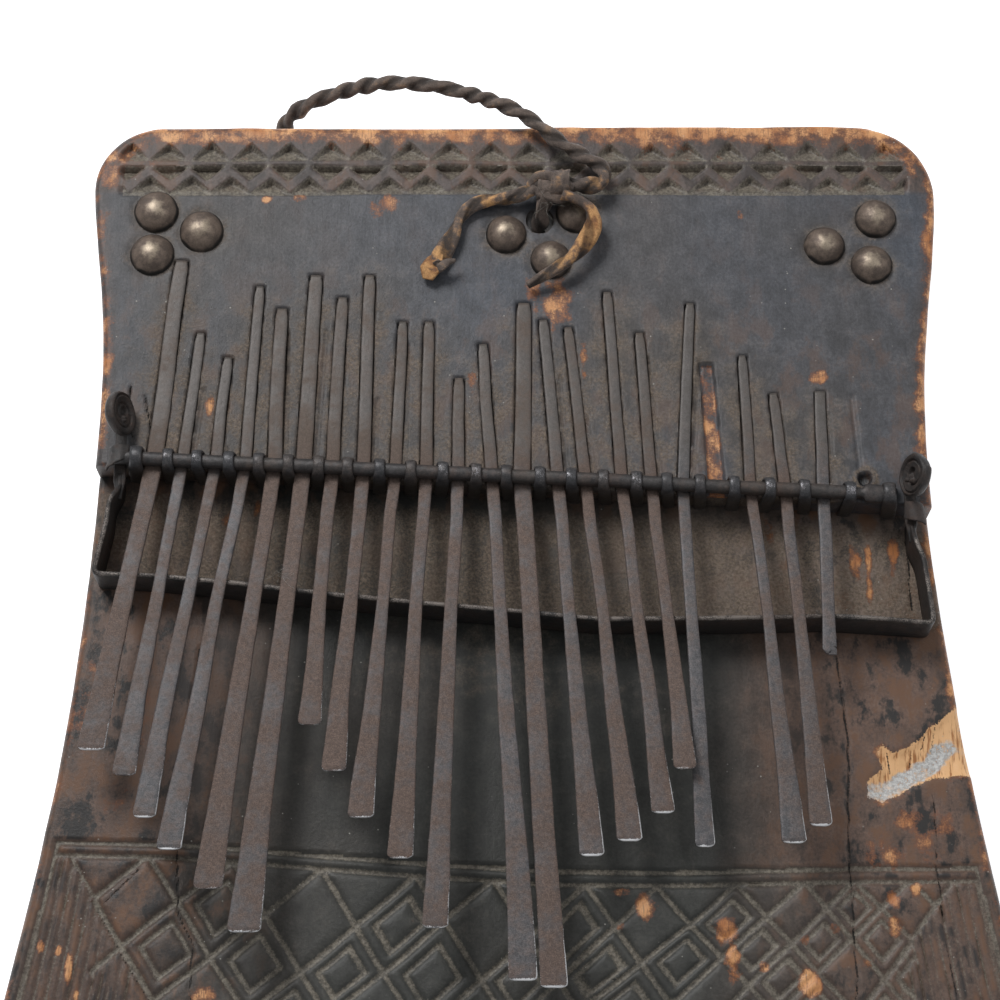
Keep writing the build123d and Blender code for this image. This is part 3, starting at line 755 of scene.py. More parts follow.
# ---------------------------------------------------------------- body
FAR_CORNERS = (17.0, 19.0)  # left, right
NEAR_CORNER = 9.0
HOLE = (6.5, 101.0)
HOLE_RADIUS = 3.5
HOLLOW_END_Y = 14.0
HOLLOW_HALF_INNER = 78.0
HOLLOW_HALF_MOUTH = 98.0
HOLLOW_Z = (5.0, 22.0)
HOLLOW_CORNER = 14.0
GROOVE_DEPTH = 1.2
TINE_COUNT = len(frame["joints"])
TACK_NODES = ("tacks_left", "tacks_right", "tacks_hole")

# The body's two sides and lowest z against y, read from the CAD body.
table_y = np.concatenate([
    np.linspace(NEAR_Y + 0.02, NEAR_Y + NEAR_CORNER, 40),
    np.linspace(NEAR_Y + NEAR_CORNER + 1, FAR_Y - FAR_CORNERS[1] - 1, 120),
    np.linspace(FAR_Y - FAR_CORNERS[1], FAR_Y - 0.02, 60),
])
body_slices = slices("sound_board", table_y)


def side_at(y, side):
    """How far the body's left (-1) or right (1) side stands from the middle."""
    return np.interp(y, table_y, np.abs(body_slices[:, 0 if side < 0 else 1]))


def bottom_at(y):
    return np.interp(y, table_y, body_slices[:, 2])


def bar_line(x):
    return BAR_Y + BAR_SLOPE * x


def step_line(x):
    """Where the step between the two faces stands, in plan."""
    return bar_line(x) - STEP_SETBACK


def edge_distance(x, y):
    """Distance in plan to the body's outline, from inside."""
    out = np.where(x < 0, side_at(y, -1), side_at(y, 1))
    further = np.where(x < 0, side_at(y + 1, -1), side_at(y + 1, 1))
    side = (out - np.abs(x)) / np.sqrt(1 + (further - out) ** 2)
    distance = np.minimum(side, np.minimum(FAR_Y - y, y - NEAR_Y))
    corners = (
        (FAR_CORNERS[0], FAR_Y, -1),
        (FAR_CORNERS[1], FAR_Y, 1),
        (NEAR_CORNER, NEAR_Y, -1),
        (NEAR_CORNER, NEAR_Y, 1),
    )
    for corner, end, left_right in corners:
        turn = 1 if end > 0 else -1
        middle_y = end - turn * corner
        middle_x = side_at(middle_y, left_right) - corner
        off_x, off_y = x * left_right - middle_x, (y - middle_y) * turn
        round_part = corner - np.hypot(off_x, off_y)
        distance = np.where((off_x > 0) & (off_y > 0), np.minimum(side, round_part), distance)
    return np.maximum(distance, 0)


def spaced(low, high, step):
    """Places from low to high, step apart and closer near both ends, where the body is rounded."""
    close = np.array([0.0, 0.12, 0.35, 0.7, 1.1, 1.6, 2.2, 3.0])
    middle = np.linspace(low + close[-1], high - close[-1], int((high - low - 2 * close[-1]) / step) + 2)
    return np.concatenate([low + close[:-1], middle, (high - close[:-1])[::-1]])


def rim_drop(distance, radius):
    """How far a rounded rim has fallen at a distance from the outline."""
    inner = np.clip(radius - distance, 0, radius)
    return radius - np.sqrt(np.maximum(radius**2 - inner**2, 0))


def spots(x, y, places):
    """The strongest of a list of soft oval patches: x, y, half width, half length, strength."""
    most = np.zeros(np.broadcast(x, y).shape)
    for px, py, rx, ry, strength in places:
        away = np.hypot((x - px) / rx, (y - py) / ry) + 0.42 * rough(x, y, 2.8, 66, 3)
        most = np.maximum(most, strength * smooth_step(1.40, 0.35, away))
    return most


def tine_centres():
    """For each tine: the y of its tail's end, and the line of its tail in plan with its half width."""
    found = []
    for number in range(1, TINE_COUNT + 1):
        low, high = box_mm(f"tine_{number:02d}_tail")
        ys = np.array([high[1] - 0.01, bar_line((low[0] + high[0]) / 2), low[1] + 0.01])
        cut = slices(f"tine_{number:02d}_tail", ys)
        found.append((ys, (cut[:, 0] + cut[:, 1]) / 2, (cut[:, 1] - cut[:, 0]) / 2))
    return found


TAILS = tine_centres()
# Two cuts with no tine in them: the missing tine's groove, and a faint layout cut.
BARE_GROOVES = [
    (np.array([62.5, 29.8, 20.0]), np.array([47.0, 48.9, 49.2]), np.array([1.7, 2.05, 2.05]), GROOVE_DEPTH),
    (np.array([54.0, 27.9, 20.0]), np.array([82.2, 84.1, 84.2]), np.array([0.55, 0.7, 0.7]), 0.6),
]
TACKS = [solid for node in TACK_NODES for solid in solids_of(node)]
TACK_PLACES = [solid[:, :2].min(0) / 2 + solid[:, :2].max(0) / 2 for solid in TACKS]
TACK_RADII = [np.ptp(solid[:, 0]) / 2 for solid in TACKS]

CHARCOAL = np.array((0.067, 0.074, 0.090))
SMOKED = np.array((0.080, 0.068, 0.060))
BLACK = np.array((0.036, 0.036, 0.032))
BROWN = np.array((0.140, 0.086, 0.064))
UMBER = np.array((0.072, 0.050, 0.040))
# The inside of the hole and the hollow gets a tone darker than the wood's: painted shade in these recesses.
SHADED_CUT_TONE = UMBER * 0.6  # inside the hole and the hollow


def toned(a, b, share):
    return a * (1 - share[..., None]) + b * share[..., None]


def chip_row(x, y, foot_y, tip_y, shift, deep_at_tip, seed):
    """Depth of one row of triangular chip cuts with straight feet, and the distance outside them."""
    pitch = 10.0
    wander = x + 0.5 * lumps(x, 0, 31.0, seed)
    cell = np.floor((wander - shift) / pitch + 0.5)
    jitter = 0.45 * cell_value(cell, 0 * cell, seed)
    across = np.abs(wander - shift - pitch * cell - jitter)
    foot = foot_y + 0.25 * lumps(x, 0, 18.0, seed + 1)
    tip = tip_y + 0.35 * cell_value(cell, 0 * cell + 1, seed)
    t = (y - foot) / (tip - foot)
    side = (1 - t) * (pitch / 2 - 0.45) - across
    from_foot = np.abs(tip - foot) * t
    within = np.minimum(side * 0.72, from_foot)
    floor = 0.30 + 2.1 * (t if deep_at_tip else 1 - t)
    return np.clip(np.minimum(floor, within * 3.6), 0, None), -within


NAIL_SOCKET = (84.8, 32.3)
BAND_START = 99.0  # the chip-cut band stops this far from the middle


def chip_band(x, y):
    """Depth of the three rows of chip cuts along the far edge, and the distance to their lines."""
    in_band = smooth_step(BAND_START, BAND_START - 1.2, np.abs(x))
    cut, line = np.zeros_like(x), np.full_like(x, FAR)
    for foot, tip, shift, deep_at_tip, seed in (
        (117.7, 122.6, 4.0, True, 21),
        (116.0, 112.3, 4.0, False, 22),
        (108.9, 112.9, -1.0, True, 23),
    ):
        depth, outside = chip_row(x, y, foot, tip, shift, deep_at_tip, seed)
        cut = np.maximum(cut, depth)
        # Dust has settled where the cut is shallow, and not against its deep end.
        line = np.minimum(line, np.clip(outside + 0.35 + 0.42 * depth, 0.0, FAR))
    border = np.abs(y - 108.5 - 0.2 * lumps(x, 0, 30, 24))
    cut = np.maximum(cut, 0.35 * smooth_step(0.55, 0.1, border))
    line = np.minimum(line, border * 1.4)
    return cut * in_band, lerp(FAR, line, in_band)


def cut_tail_grooves(x, y, z):
    """Grooves of the tails, with scribed guide lines beside some of them: height, dust, distance outside."""
    dust = np.zeros_like(x)
    groove = np.full_like(x, FAR)
    for k, (ys, xs, halves) in enumerate(TAILS):
        centre = np.interp(-y, -ys, xs)
        half = np.interp(-y, -ys, halves) + 0.02
        away = np.maximum(np.abs(x - centre) - half, y - ys[0])
        z = z - (GROOVE_DEPTH + 0.1) * smooth_step(0.28, -0.12, away)
        groove = np.minimum(groove, np.maximum(away, 0))
        near = np.exp(-((x - centre) ** 2) / 50.0) * smooth_step(ys[0] + 9, ys[0] - 14, y)
        dust = np.maximum(dust, near)
        if k % 3 != 0:
            scribe_x = centre + half + 0.9 + 0.02 * (y - 33) * (1 if k % 2 else -1)
            top = ys[0] - 6 - 9 * (k % 4)
            scribe = np.hypot(x - scribe_x, np.maximum(y - top, 0))
            z = z - 0.55 * smooth_step(0.75, 0.1, scribe)
            groove = np.minimum(groove, scribe + 0.15)
    return z, dust, groove


def cut_bare_grooves(x, y, z, dust):
    """The two cuts that hold no tine: height, how bare the wood in them is, and the dust left there."""
    bare = np.zeros_like(x)
    for ys, xs, halves, deep in BARE_GROOVES:
        centre = np.interp(-y, -ys, xs)
        away = np.maximum(np.abs(x - centre) - np.interp(-y, -ys, halves), y - ys[0])
        z = z - deep * smooth_step(0.25, -0.3, away)
        if deep == GROOVE_DEPTH:
            inside = smooth_step(0.2, -0.3, away)
            bare = np.maximum(bare, 0.62 * inside)
            dust = dust * (1 - inside)
    return z, bare, dust


def upper_surface(x, y):
    """Height of the upper face and everything that colours it."""
    edge = edge_distance(x, y)
    z = FACE_Z - 0.12 + 0.16 * rough(x, y, 26, 1, 3) + 0.05 * rough(x * 2.2, y, 5.0, 2)
    rim_radius = 2.1 + 0.8 * rough(x, y, 15, 3, 3) + 0.3 * smooth_step(118, 127, y)
    rim_radius = rim_radius - 1.1 * smooth_step(118, 127, y) * smooth_step(0, 12, x) * smooth_step(95, 75, x)
    z = z - rim_drop(edge, np.maximum(rim_radius, 1.0))
    # The front edge along the step is slightly broken.
    step = y - step_line(x)
    z = z - rim_drop(step, 0.7 + 0.35 * rough(x, y, 6, 4, 2))

    cut, line = chip_band(x, y)
    z, dust, groove = cut_tail_grooves(x, y, z - cut)
    z, bare, dust = cut_bare_grooves(x, y, z, dust)
    for (px, py), radius in zip(TACK_PLACES, TACK_RADII):
        away = np.hypot(x - px, y - py) - radius
        dust = np.maximum(dust, 0.85 * np.exp(-np.maximum(away, 0) / 1.8))
        z = z - 0.25 * np.exp(-((away / 1.2) ** 2))
    dust = dust * 0.58 + 0.15 * np.exp(-edge / 5.0)

    # The rims are worn to orange wood, most along the far edge and at its corners.
    far_rim = smooth_step(126.5, 119.5, y)
    wear = 0.78 - 0.64 * far_rim + 0.22 * rough(x, y * 0.4, 22, 31, 2)
    wear = np.where(y > 118, wear, 0)
    side_wear = 0.92 * smooth_step(4.6, 1.2, edge) * (0.62 + 0.45 * rough(x, y, 19, 32, 2))
    corner = smooth_step(8.0, 3.5, edge) * smooth_step(98, 118, y) * 0.62
    bare = np.maximum(bare, np.maximum(wear, np.maximum(side_wear, corner)))
    bare = np.maximum(bare, spots(x, y, UPPER_WEAR))
    bare = bare - 0.35 * smooth_step(0.9, 0.0, groove)

    warm = np.clip(0.25 + 0.9 * dust + 0.5 * rough(x, y, 33, 33, 2), 0, 1)
    base = toned(CHARCOAL, SMOKED, warm)
    ridge_brown = 0.75 * smooth_step(108.0, 109.5, y) + 0.35 * smooth_step(5, 1, edge) * (y < 108)
    # Darker towards the left: painted shade that offsets the key light, which comes from the left.
    base = base * (1 - 0.16 * smooth_step(-15, -80, x))[..., None]
    base = toned(base, UMBER * 1.35, ridge_brown + 0.15 * rough(x, y, 17, 34, 2) * (y > 108))
    # Darker in and right beside the grooves and scribed lines: painted shade along the tails.
    base = base * (1 - 0.30 * smooth_step(0.4, 0.0, groove))[..., None]
    crack = line_distance(x, y, [(-93.5, 56.5), (-94.2, 47.0), (-92.4, 43.0)]) + 0.06
    crack = np.minimum(crack, line_distance(x, y, [(-90.0, 54.0), (-88.3, 45.5)]) + 0.08)
    z = z - 0.5 * smooth_step(0.5, 0.0, crack)
    # The corroded socket of a lost nail, just behind the bar.
    socket = np.hypot(x - NAIL_SOCKET[0], y - NAIL_SOCKET[1]) + 0.35 * rough(x, y, 1.6, 67, 2)
    z = z - 1.5 * smooth_step(2.0, 1.0, socket) + 0.45 * np.exp(-(((socket - 2.2) / 0.5) ** 2))
    base = base * (1 - 0.75 * smooth_step(2.1, 1.3, socket))[..., None]
    dust = np.maximum(dust, 0.9 * np.exp(-(((socket - 2.6) / 0.9) ** 2)))
    dust = dust * smooth_step(1.2, 2.0, socket)
    hole = np.hypot(x - HOLE[0], y - HOLE[1]) - HOLE_RADIUS
    z = z - 0.22 * smooth_step(1.0, 0.0, hole)
    warmth = 0.06 + 0.26 * smooth_step(96, 60, y) + 0.45 * smooth_step(108.0, 110.0, y)
    return z, {"base": base, "dust": dust, "bare": bare, "line": line, "chip": FAR + 0 * x,
               "heart": 0 * x, "crack": crack, "warmth": warmth}


# Worn places on the upper face: x, y, half width, half length, strength.
UPPER_WEAR = [
    (-74.0, 51.0, 1.8, 3.2, 0.74),
    (73.8, 58.8, 3.4, 2.4, 0.80),
    (11.0, 76.5, 4.5, 9.0, 0.62),
    (4.5, 80.0, 3.0, 5.5, 0.58),
    (-62.0, 106.8, 1.6, 1.1, 0.66),
    (-53.5, 107.0, 3.0, 1.3, 0.66),
    (-32.0, 105.0, 4.5, 4.2, 0.58),
    (56.5, 102.2, 1.4, 2.2, 0.60),
    (-10.0, 57.0, 1.5, 3.5, 0.56),
    (17.0, 62.0, 1.2, 9.0, 0.52),
    (-66.5, 112.0, 3.0, 1.4, 0.50),
    (-90.5, 116.8, 3.0, 1.2, 0.60),
]

# ---------------------------------------------------------------- lower face
# The field of carved diamonds: where each pair of lines starts on its upper border, and how far each of the
# two runs sideways for each millimetre towards the player.
DIAMOND_LINES = [
    (-104.0, 0.62, -1.25),
    (-85.5, 0.68, -1.22),
    (-65.5, 0.66, -1.20),
    (-45.0, 0.64, -1.13),
    (-23.0, 0.66, -1.08),
    (-5.0, 0.66, -1.10),
    (16.5, 0.70, -1.04),
    (33.0, 0.86, -1.02),
    (51.5, 0.86, -1.24),
    (67.5, 0.76, -1.15),
    (79.0, 0.92, -1.05),
    (92.0, 0.90, -1.05),
    (102.5, 0.95, -0.76),
]
FIELD_TOP = [(-108.0, -55.0), (-85.0, -55.6), (-58.0, -57.2), (-27.0, -59.8), (8.0, -62.4), (43.0, -62.6),
             (78.0, -61.6), (108.0, -61.2)]
FIELD_FOOT_Y = -117.0
CARVED_TO_Y = -52.0  # just past the field
BORDER_GAP = 3.1
RIB_PITCH = 2.3  # between the ribs of the wedges at both sides
SIDE_GAP = 3.6  # the carved field stops this far from the rims
TORN_CHIP = [(106.6, -21.4), (100.0, -26.6), (92.6, -32.8), (89.4, -33.6), (86.8, -31.2), (85.6, -33.4),
             (87.0, -37.6), (83.2, -40.4), (82.8, -44.6), (86.4, -45.6), (91.0, -43.6), (97.0, -40.2),
             (103.0, -39.4), (110.0, -39.8), (112.0, -21.0)]
# The grey middle of the torn place, and the slits that run from it.
GREY_RUN = [(83.6, -43.6), (88.0, -42.6), (94.0, -39.0), (99.4, -36.0), (101.6, -32.4)]
SLITS = [
    [(99.6, -27.6), (98.6, -33.6)],
    [(97.2, -29.4), (95.8, -34.6)],
    [(94.0, -32.6), (93.2, -37.4)],
    [(88.0, -33.8), (88.6, -39.0)],
]
CRACKS = [
    [(-75.1, -8.0), (-77.4, -30.0), (-78.8, -56.5), (-78.0, -71.8), (-74.5, -79.1), (-74.4, -92.0),
     (-75.6, -118.0)],
    [(76.7, -6.0), (78.9, -30.7), (77.8, -62.2), (78.3, -69.2), (78.6, -92.0), (79.4, -127.0)],
    [(98.6, -44.0), (98.3, -61.7), (99.4, -77.2), (101.3, -92.2), (102.0, -110.0)],
    [(94.7, 19.4), (95.4, 10.0), (95.6, 1.6)],
]
LOWER_WEAR = [
    (30.2, -70.5, 2.6, 3.2, 0.74),
    (24.9, -67.3, 2.4, 1.4, 0.66),
    (24.8, -75.0, 1.4, 1.6, 0.62),
    (48.6, -76.0, 3.6, 3.2, 0.92),
    (50.5, -83.5, 2.2, 4.0, 0.80),
    (57.5, -84.5, 1.8, 1.6, 0.70),
    (67.5, -88.0, 3.2, 3.4, 0.92),
    (67.0, -78.4, 1.6, 2.2, 0.70),
    (74.0, -75.6, 1.6, 2.0, 0.66),
    (81.0, -84.0, 1.6, 2.0, 0.66),
    (88.2, -68.8, 2.2, 2.6, 0.80),
    (92.9, -66.4, 1.6, 2.2, 0.78),
    (88.0, -76.0, 2.0, 3.4, 0.86),
    (87.4, -57.0, 4.0, 6.0, 0.62),
    (83.0, -58.5, 2.2, 3.0, 0.62),
    (92.6, -50.0, 4.5, 3.0, 0.50),
    (98.5, -56.0, 5.0, 9.0, 0.50),
    (-109.5, -79.5, 1.0, 2.2, 0.86),
    (-102.6, -85.6, 1.2, 4.6, 0.98),
    (-100.6, -91.6, 1.0, 3.6, 0.96),
    (-105.2, -80.6, 0.8, 1.6, 0.80),
    (-100.5, -21.0, 3.5, 12.0, 0.50),
    (-88.0, -20.0, 3.0, 13.0, 0.44),
    (-92.0, -46.0, 5.0, 4.0, 0.50),
    (-71.0, -91.0, 3.5, 3.0, 0.60),
    (10.0, -100.0, 3.0, 2.0, 0.66),
    (-40.0, -106.0, 2.5, 3.0, 0.62),
    (85.6, 11.5, 1.1, 8.5, 0.84),
    (81.6, 15.0, 0.8, 3.4, 0.72),
    (82.8, 13.0, 1.6, 4.6, 0.76),
    (91.8, 14.6, 1.6, 6.0, 0.84),
    (-62.5, 27.6, 1.3, 2.8, 0.66),
    (-68.5, 25.0, 2.4, 4.0, 0.46),
    (62.0, 22.0, 1.6, 5.0, 0.50),
]


def field_top(x):
    xs, ys = zip(*FIELD_TOP)
    return np.interp(x, xs, ys) + 0.25 * lumps(x, 0, 25.0, 41)


def between(x, places):
    """Which two of a list of lines each point lies between, how far across, and how far apart they are."""
    stack = np.array(places)
    low = np.clip((stack <= x[None]).sum(0) - 1, 0, len(places) - 2)
    a = np.take_along_axis(stack, low[None], 0)[0]
    b = np.take_along_axis(stack, low[None] + 1, 0)[0]
    return low, np.clip((x - a) / np.maximum(b - a, 0.1), -0.5, 1.5), b - a


def diamond_field(x, y):
    """Distance to the nearest carved line of the diamond field."""
    top = field_top(x) - BORDER_GAP
    down = top - y + 0.6 * lumps(x, y, 14.0, 42)
    starts = np.array([s for s, _, _ in DIAMOND_LINES])
    steep = [s + m * down for s, m, _ in DIAMOND_LINES]
    shallow = [s + n * down for s, _, n in DIAMOND_LINES]
    # More lines of the same two families come in from both sides.
    for extra in range(1, 5):
        shallow.append(starts[-1] + 15.0 * extra - (0.80 + 0.05 * extra) * down)
    near = np.full_like(x, FAR)
    for places, slope in ((steep, 0.72), (shallow, 1.1)):
        for place in places:
            near = np.minimum(near, np.abs(x - place) / math.hypot(1, slope))
    i, a, wide_a = between(x, steep)
    j, b, wide_b = between(x, shallow)
    row = j - i
    nested = ((row % 2 == 0) & (row > 0)) | ((row % 2 == 1) & (i % 2 == 1) & (row > 0))
    off = np.maximum(np.abs(a - 0.5), np.abs(b - 0.5))
    inner = np.abs(off - 0.28) * np.minimum(wide_a, wide_b) * 0.72
    near = np.where(nested & (down > 1.5), np.minimum(near, inner + 0.1), near)
    return near


def carved_field(x, y, edge):
    """Distance to the lines of the carved field, with its double border, and where the field is."""
    top = field_top(x)
    left_wedge = x < DIAMOND_LINES[0][0] + DIAMOND_LINES[0][1] * (top - BORDER_GAP - y)
    right_wedge = x > DIAMOND_LINES[-1][0] + DIAMOND_LINES[-1][2] * (top - BORDER_GAP - y)
    near = diamond_field(x, y)
    near = np.where((left_wedge & (x < -98)) | (right_wedge & (x > 92)), FAR, near)
    # A wedge of ribs fills each side.
    ridge = x + 0.16 * np.sign(x) * (y + 60)
    hatch = np.abs(((ridge + 0.9 * lumps(x, y * 0.25, 7, 43)) / RIB_PITCH) % 1.0 - 0.5) * RIB_PITCH
    wedge = (left_wedge | right_wedge) & (np.abs(x) > 88)
    near = np.where(wedge, np.minimum(near, hatch + 0.42), near)
    near = np.where((y < top - BORDER_GAP) & (y > FIELD_FOOT_Y + BORDER_GAP), near, FAR)
    first = np.abs(y - top)
    second = np.abs(y - top + BORDER_GAP) + 0.12
    foot = np.minimum(np.abs(y - FIELD_FOOT_Y), np.abs(y - FIELD_FOOT_Y - BORDER_GAP))
    sides = np.abs(edge - SIDE_GAP)
    near = np.minimum(near, np.minimum(np.minimum(first, second), np.minimum(foot, sides)))
    inside_rows = (y < top + 0.8) & (y > FIELD_FOOT_Y - 0.8) & (edge > SIDE_GAP - 0.8)
    return np.where(inside_rows, near, FAR), inside_rows


def lower_surface(x, y):
    """Height of the sound board and everything that colours it."""
    edge = edge_distance(x, y)
    z = SOUND_Z - 0.1 + 0.22 * rough(x, y, 30, 51, 3) + 0.07 * rough(x * 1.6, y * 0.5, 5.0, 52)
    rim_radius = np.maximum(2.4 + 1.0 * rough(x, y, 17, 53, 3), 1.1)
    z = z - rim_drop(edge, rim_radius)

    line, inside_rows = carved_field(x, y, edge)
    wander = 0.12 * rough(x, y, 4.0, 44, 2)
    z = z - 0.85 * smooth_step(1.15, 0.15, line + wander) * (0.8 + 0.35 * rough(x, y, 22, 45, 2))
    z = z + 0.16 * smooth_step(0.8, 2.6, line) * inside_rows
    line = line + wander

    # The trough between the step and the bridge is rough and dusty.
    trough = smooth_step(0.0, 3.0, y - bridge_line(x))
    z = z - trough * (0.25 + 0.28 * rough(x, y * 0.5, 7.0, 54, 3) + 0.16 * rough(x, y, 2.2, 68, 2))
    dust = trough * (0.74 + 0.34 * rough(x, y, 14, 55, 3)) * smooth_step(0.5, 7.0, step_line(x) - y)
    dust = dust + 0.22 * smooth_step(-8, -20, y) * smooth_step(60, 30, np.abs(x - 5)) * rough(x, y, 30, 56, 2)
    dust = np.clip(dust + 0.32 * np.exp(-(((x + 3) / 42) ** 2) - ((y + 12) / 16.0) ** 2), 0, 1)

    # Cracks run with the grain.
    crack = np.full_like(x, FAR)
    for number, points in enumerate(CRACKS):
        shaken = x + 0.35 * rough(y * 1.2, 0 * y + 5 * number, 5.0, 57, 3)
        crack = np.minimum(crack, line_distance(shaken, y, points) + (0.02, 0.0, 0.08, 0.05)[number])
    left_diagonal = [(-96.5, -71.8), (-90.0, -83.0), (-84.0, -92.2), (-78.0, -101.0)]
    crack = np.minimum(crack, line_distance(x, y, left_diagonal) + 0.10)
    crack = np.minimum(crack, line_distance(x, y, [(-87.4, -61.6), (-95.0, -69.4)]) + 0.12)
    z = z - 0.45 * smooth_step(0.55, 0.0, crack)

    # The torn chip at the right rim.
    ragged = 0.55 * rough(x * 1.6, y * 0.7, 3.2, 58, 3)
    chip = outline_distance(x, y, TORN_CHIP) + ragged
    from_grey = line_distance(x, y, GREY_RUN) + 0.9 * rough(x, y, 3.0, 69, 3)
    heart = smooth_step(3.6, 1.0, from_grey) * 0.95
    torn = smooth_step(0.5, -1.6, chip)
    fibres = 0.30 * rough(x * 1.5, y * 0.12, 1.6, 59, 3)
    z = z - torn * (0.9 + 0.55 * smooth_step(-1, -5, chip) + fibres)
    for points in SLITS:
        crack = np.minimum(crack, line_distance(x, y, points) + 0.12)

    bare = spots(x, y, LOWER_WEAR)
    side_wear = smooth_step(3.6, 0.8, edge) * (0.40 + 0.42 * rough(x, y * 0.6, 21, 60, 3))
    bare = np.maximum(bare, side_wear)
    bare = np.maximum(bare, 0.55 * smooth_step(2.2, 0.3, np.abs(chip)) * (0.8 + 0.5 * rough(x, y, 5, 61, 2)))
    bare = bare + 0.10 * smooth_step(50, 86, np.abs(x)) * rough(x, y, 9, 62, 3)

    sideways = smooth_step(42, 84, np.abs(x + 4 + 8 * rough(x, y, 40, 63, 2)))
    base = toned(BLACK, BROWN, np.clip(sideways * 0.85 + 0.25 * rough(x, y * 0.5, 24, 64, 3), 0, 1))
    in_trough = trough * 0.8
    base = toned(base, SMOKED * (2.5, 2.2, 2.05), in_trough * smooth_step(-70, 85, x) ** 2)
    base = base * (1 - 0.30 * inside_rows * smooth_step(-40, -80, x))[..., None]
    base = toned(base, BLACK * 1.25, 0.45 * inside_rows * smooth_step(98, 70, np.abs(x)))
    base = toned(base, UMBER, smooth_step(6, 1.5, edge) * 0.7)
    # Darker for a few millimetres in front of the step: painted shade at the foot of the step, under the bar.
    base = base * (1 - 0.4 * smooth_step(7, 0.5, step_line(x) - y))[..., None]
    warmth = np.clip(0.35 * trough + smooth_step(46, 86, np.abs(x + 2)), 0, 1) * smooth_step(0.4, 1.5, line)
    return z, {"base": base, "dust": dust, "bare": bare, "line": line, "chip": chip, "heart": heart,
               "crack": crack, "warmth": warmth}


# The strap's run in plan from corner to corner, then each arm back to the bar.
BRIDGE_RUN = [(-100.0, 7.5), (-86.4, 6.8), (-50.8, 3.0), (-15.2, -0.7), (20.2, -3.9), (43.8, -3.9),
              (74.5, -3.3), (99.0, -4.9)]
LEFT_ARM = [(-95.2, 33.5), (-95.2, 29.5), (-97.2, 25.5), (-97.4, 21.0)]
RIGHT_ARM = [(97.2, 11.6), (95.5, 15.5), (95.3, 22.6)]


def bridge_line(x):
    xs, ys = zip(*BRIDGE_RUN)
    return np.interp(x, xs, ys)


def far_edge(x):
    """The far end of the body, which is worn wavy."""
    return FAR_Y - 0.12 - 0.12 * lumps(x, 0, 21, 71) - 0.9 * np.exp(-(((x + 9) / 11) ** 2))


def near_edge(x):
    return NEAR_Y + 0.25 + 0.2 * lumps(x, 0, 26, 72)


def body_part(near, far, along, column_step, surface):
    """One part of the body between two lines across it, as a closed loft of rings along y."""
    widest = side_at(NEAR_Y + NEAR_CORNER + 1, 1)
    across = spaced(-widest, widest, column_step)[None, :] / widest
    v = along[:, None]
    wide = 100.0
    ends = [lerp(near(np.array(side * wide)), far(np.array(side * wide)), v) for side in (-1, 1)]
    left, right = -side_at(ends[0], -1), side_at(ends[1], 1)
    inset = 0.10 + 0.1 * lumps(v * 120, 0, 9.0, 73)
    x = lerp(left + inset, right - inset, (across + 1) / 2)
    y = lerp(near(x), far(x), v)
    z, fields = surface(x, y)
    low = bottom_at(y)
    # Each side wall goes down from the rim, the bottom runs back, and the other wall comes up.
    steps = np.array([0.06, 0.14, 0.25, 0.38, 0.52, 0.66, 0.8, 0.92])[None, :]
    wall_z = {side: lerp(z[:, [col]], low[:, [col]] + 1.0, steps) for side, col in ((-1, 0), (1, -1))}
    bow = {
        side: 0.22 * (1 + rough(wz + side * 50, v * 90, 9, 74, 3)) * np.sin(np.pi * steps)
        for side, wz in wall_z.items()
    }
    right_x = x[:, [-1]] - bow[1]
    left_x = x[:, [0]] + bow[-1]
    foot = np.linspace(0.995, -0.995, 44)[None, :]
    foot_x = lerp(x[:, [0]], x[:, [-1]], (foot + 1) / 2)
    foot_y = lerp(near(foot_x), far(foot_x), v)
    foot_z = bottom_at(foot_y) + 0.5 * smooth_step(0.985, 0.996, np.abs(foot)) + 0 * foot_x
    xs = np.concatenate([x, right_x, foot_x, left_x[:, ::-1]], 1)
    ys = np.concatenate([y, y[:, [-1]] + 0 * right_x, foot_y, y[:, [0]] + 0 * left_x], 1)
    zs = np.concatenate([z, wall_z[1], foot_z, wall_z[-1][:, ::-1]], 1)
    ring = xs.shape[1]
    made = {}
    for key, values in fields.items():
        shape = (ring,) if values.ndim == 2 else (ring, 3)
        whole = np.zeros((len(along), *shape))
        cols = x.shape[1]
        whole[:, :cols] = values
        wall_tone = 0.5 + 0.5 * rough(ys[:, cols:] * 0.6, zs[:, cols:], 12, 75, 3)
        if key == "base":
            whole[:, cols:] = toned(UMBER * 1.15, BROWN * 0.7, wall_tone)
        elif key == "bare":
            rim = smooth_step(9, 1, z[:, [0]].max() - zs[:, cols:])
            whole[:, cols:] = rim * (0.35 + 0.35 * wall_tone)
        elif key == "chip":
            whole[:, cols : cols + steps.size] = values[:, [-1]] + steps * 6.0
            whole[:, cols + steps.size :] = FAR
        elif key in ("line", "crack"):
            whole[:, cols:] = FAR
        elif key == "warmth":
            whole[:, cols:] = 0.6
        if key in ("line", "chip", "crack"):
            whole = FAR - whole
        made[key] = whole.reshape(-1, *shape[1:])
    rows = np.stack([xs, ys, zs], -1)
    return rows, made


def rounded_plan(corners, radii, steps=10):
    """A closed plan outline whose corners are rounded by circular arcs."""
    points = []
    for k, (corner, radius) in enumerate(zip(corners, radii)):
        corner = np.array(corner, float)
        before = np.array(corners[k - 1], float) - corner
        after = np.array(corners[(k + 1) % len(corners)], float) - corner
        before, after = before / np.linalg.norm(before), after / np.linalg.norm(after)
        if radius == 0:
            points.append(corner)
            continue
        half = math.acos(np.clip(before @ after, -1, 1)) / 2
        reach = radius / math.tan(half)
        middle = corner + (before + after) / np.linalg.norm(before + after) * radius / math.sin(half)
        start, end = corner + before * reach - middle, corner + after * reach - middle
        turn = math.acos(np.clip(start @ end / radius**2, -1, 1))
        for t in np.linspace(0, 1, steps):
            mixed = (math.sin((1 - t) * turn) * start + math.sin(t * turn) * end) / math.sin(turn)
            points.append(middle + mixed)
    return np.array(points)


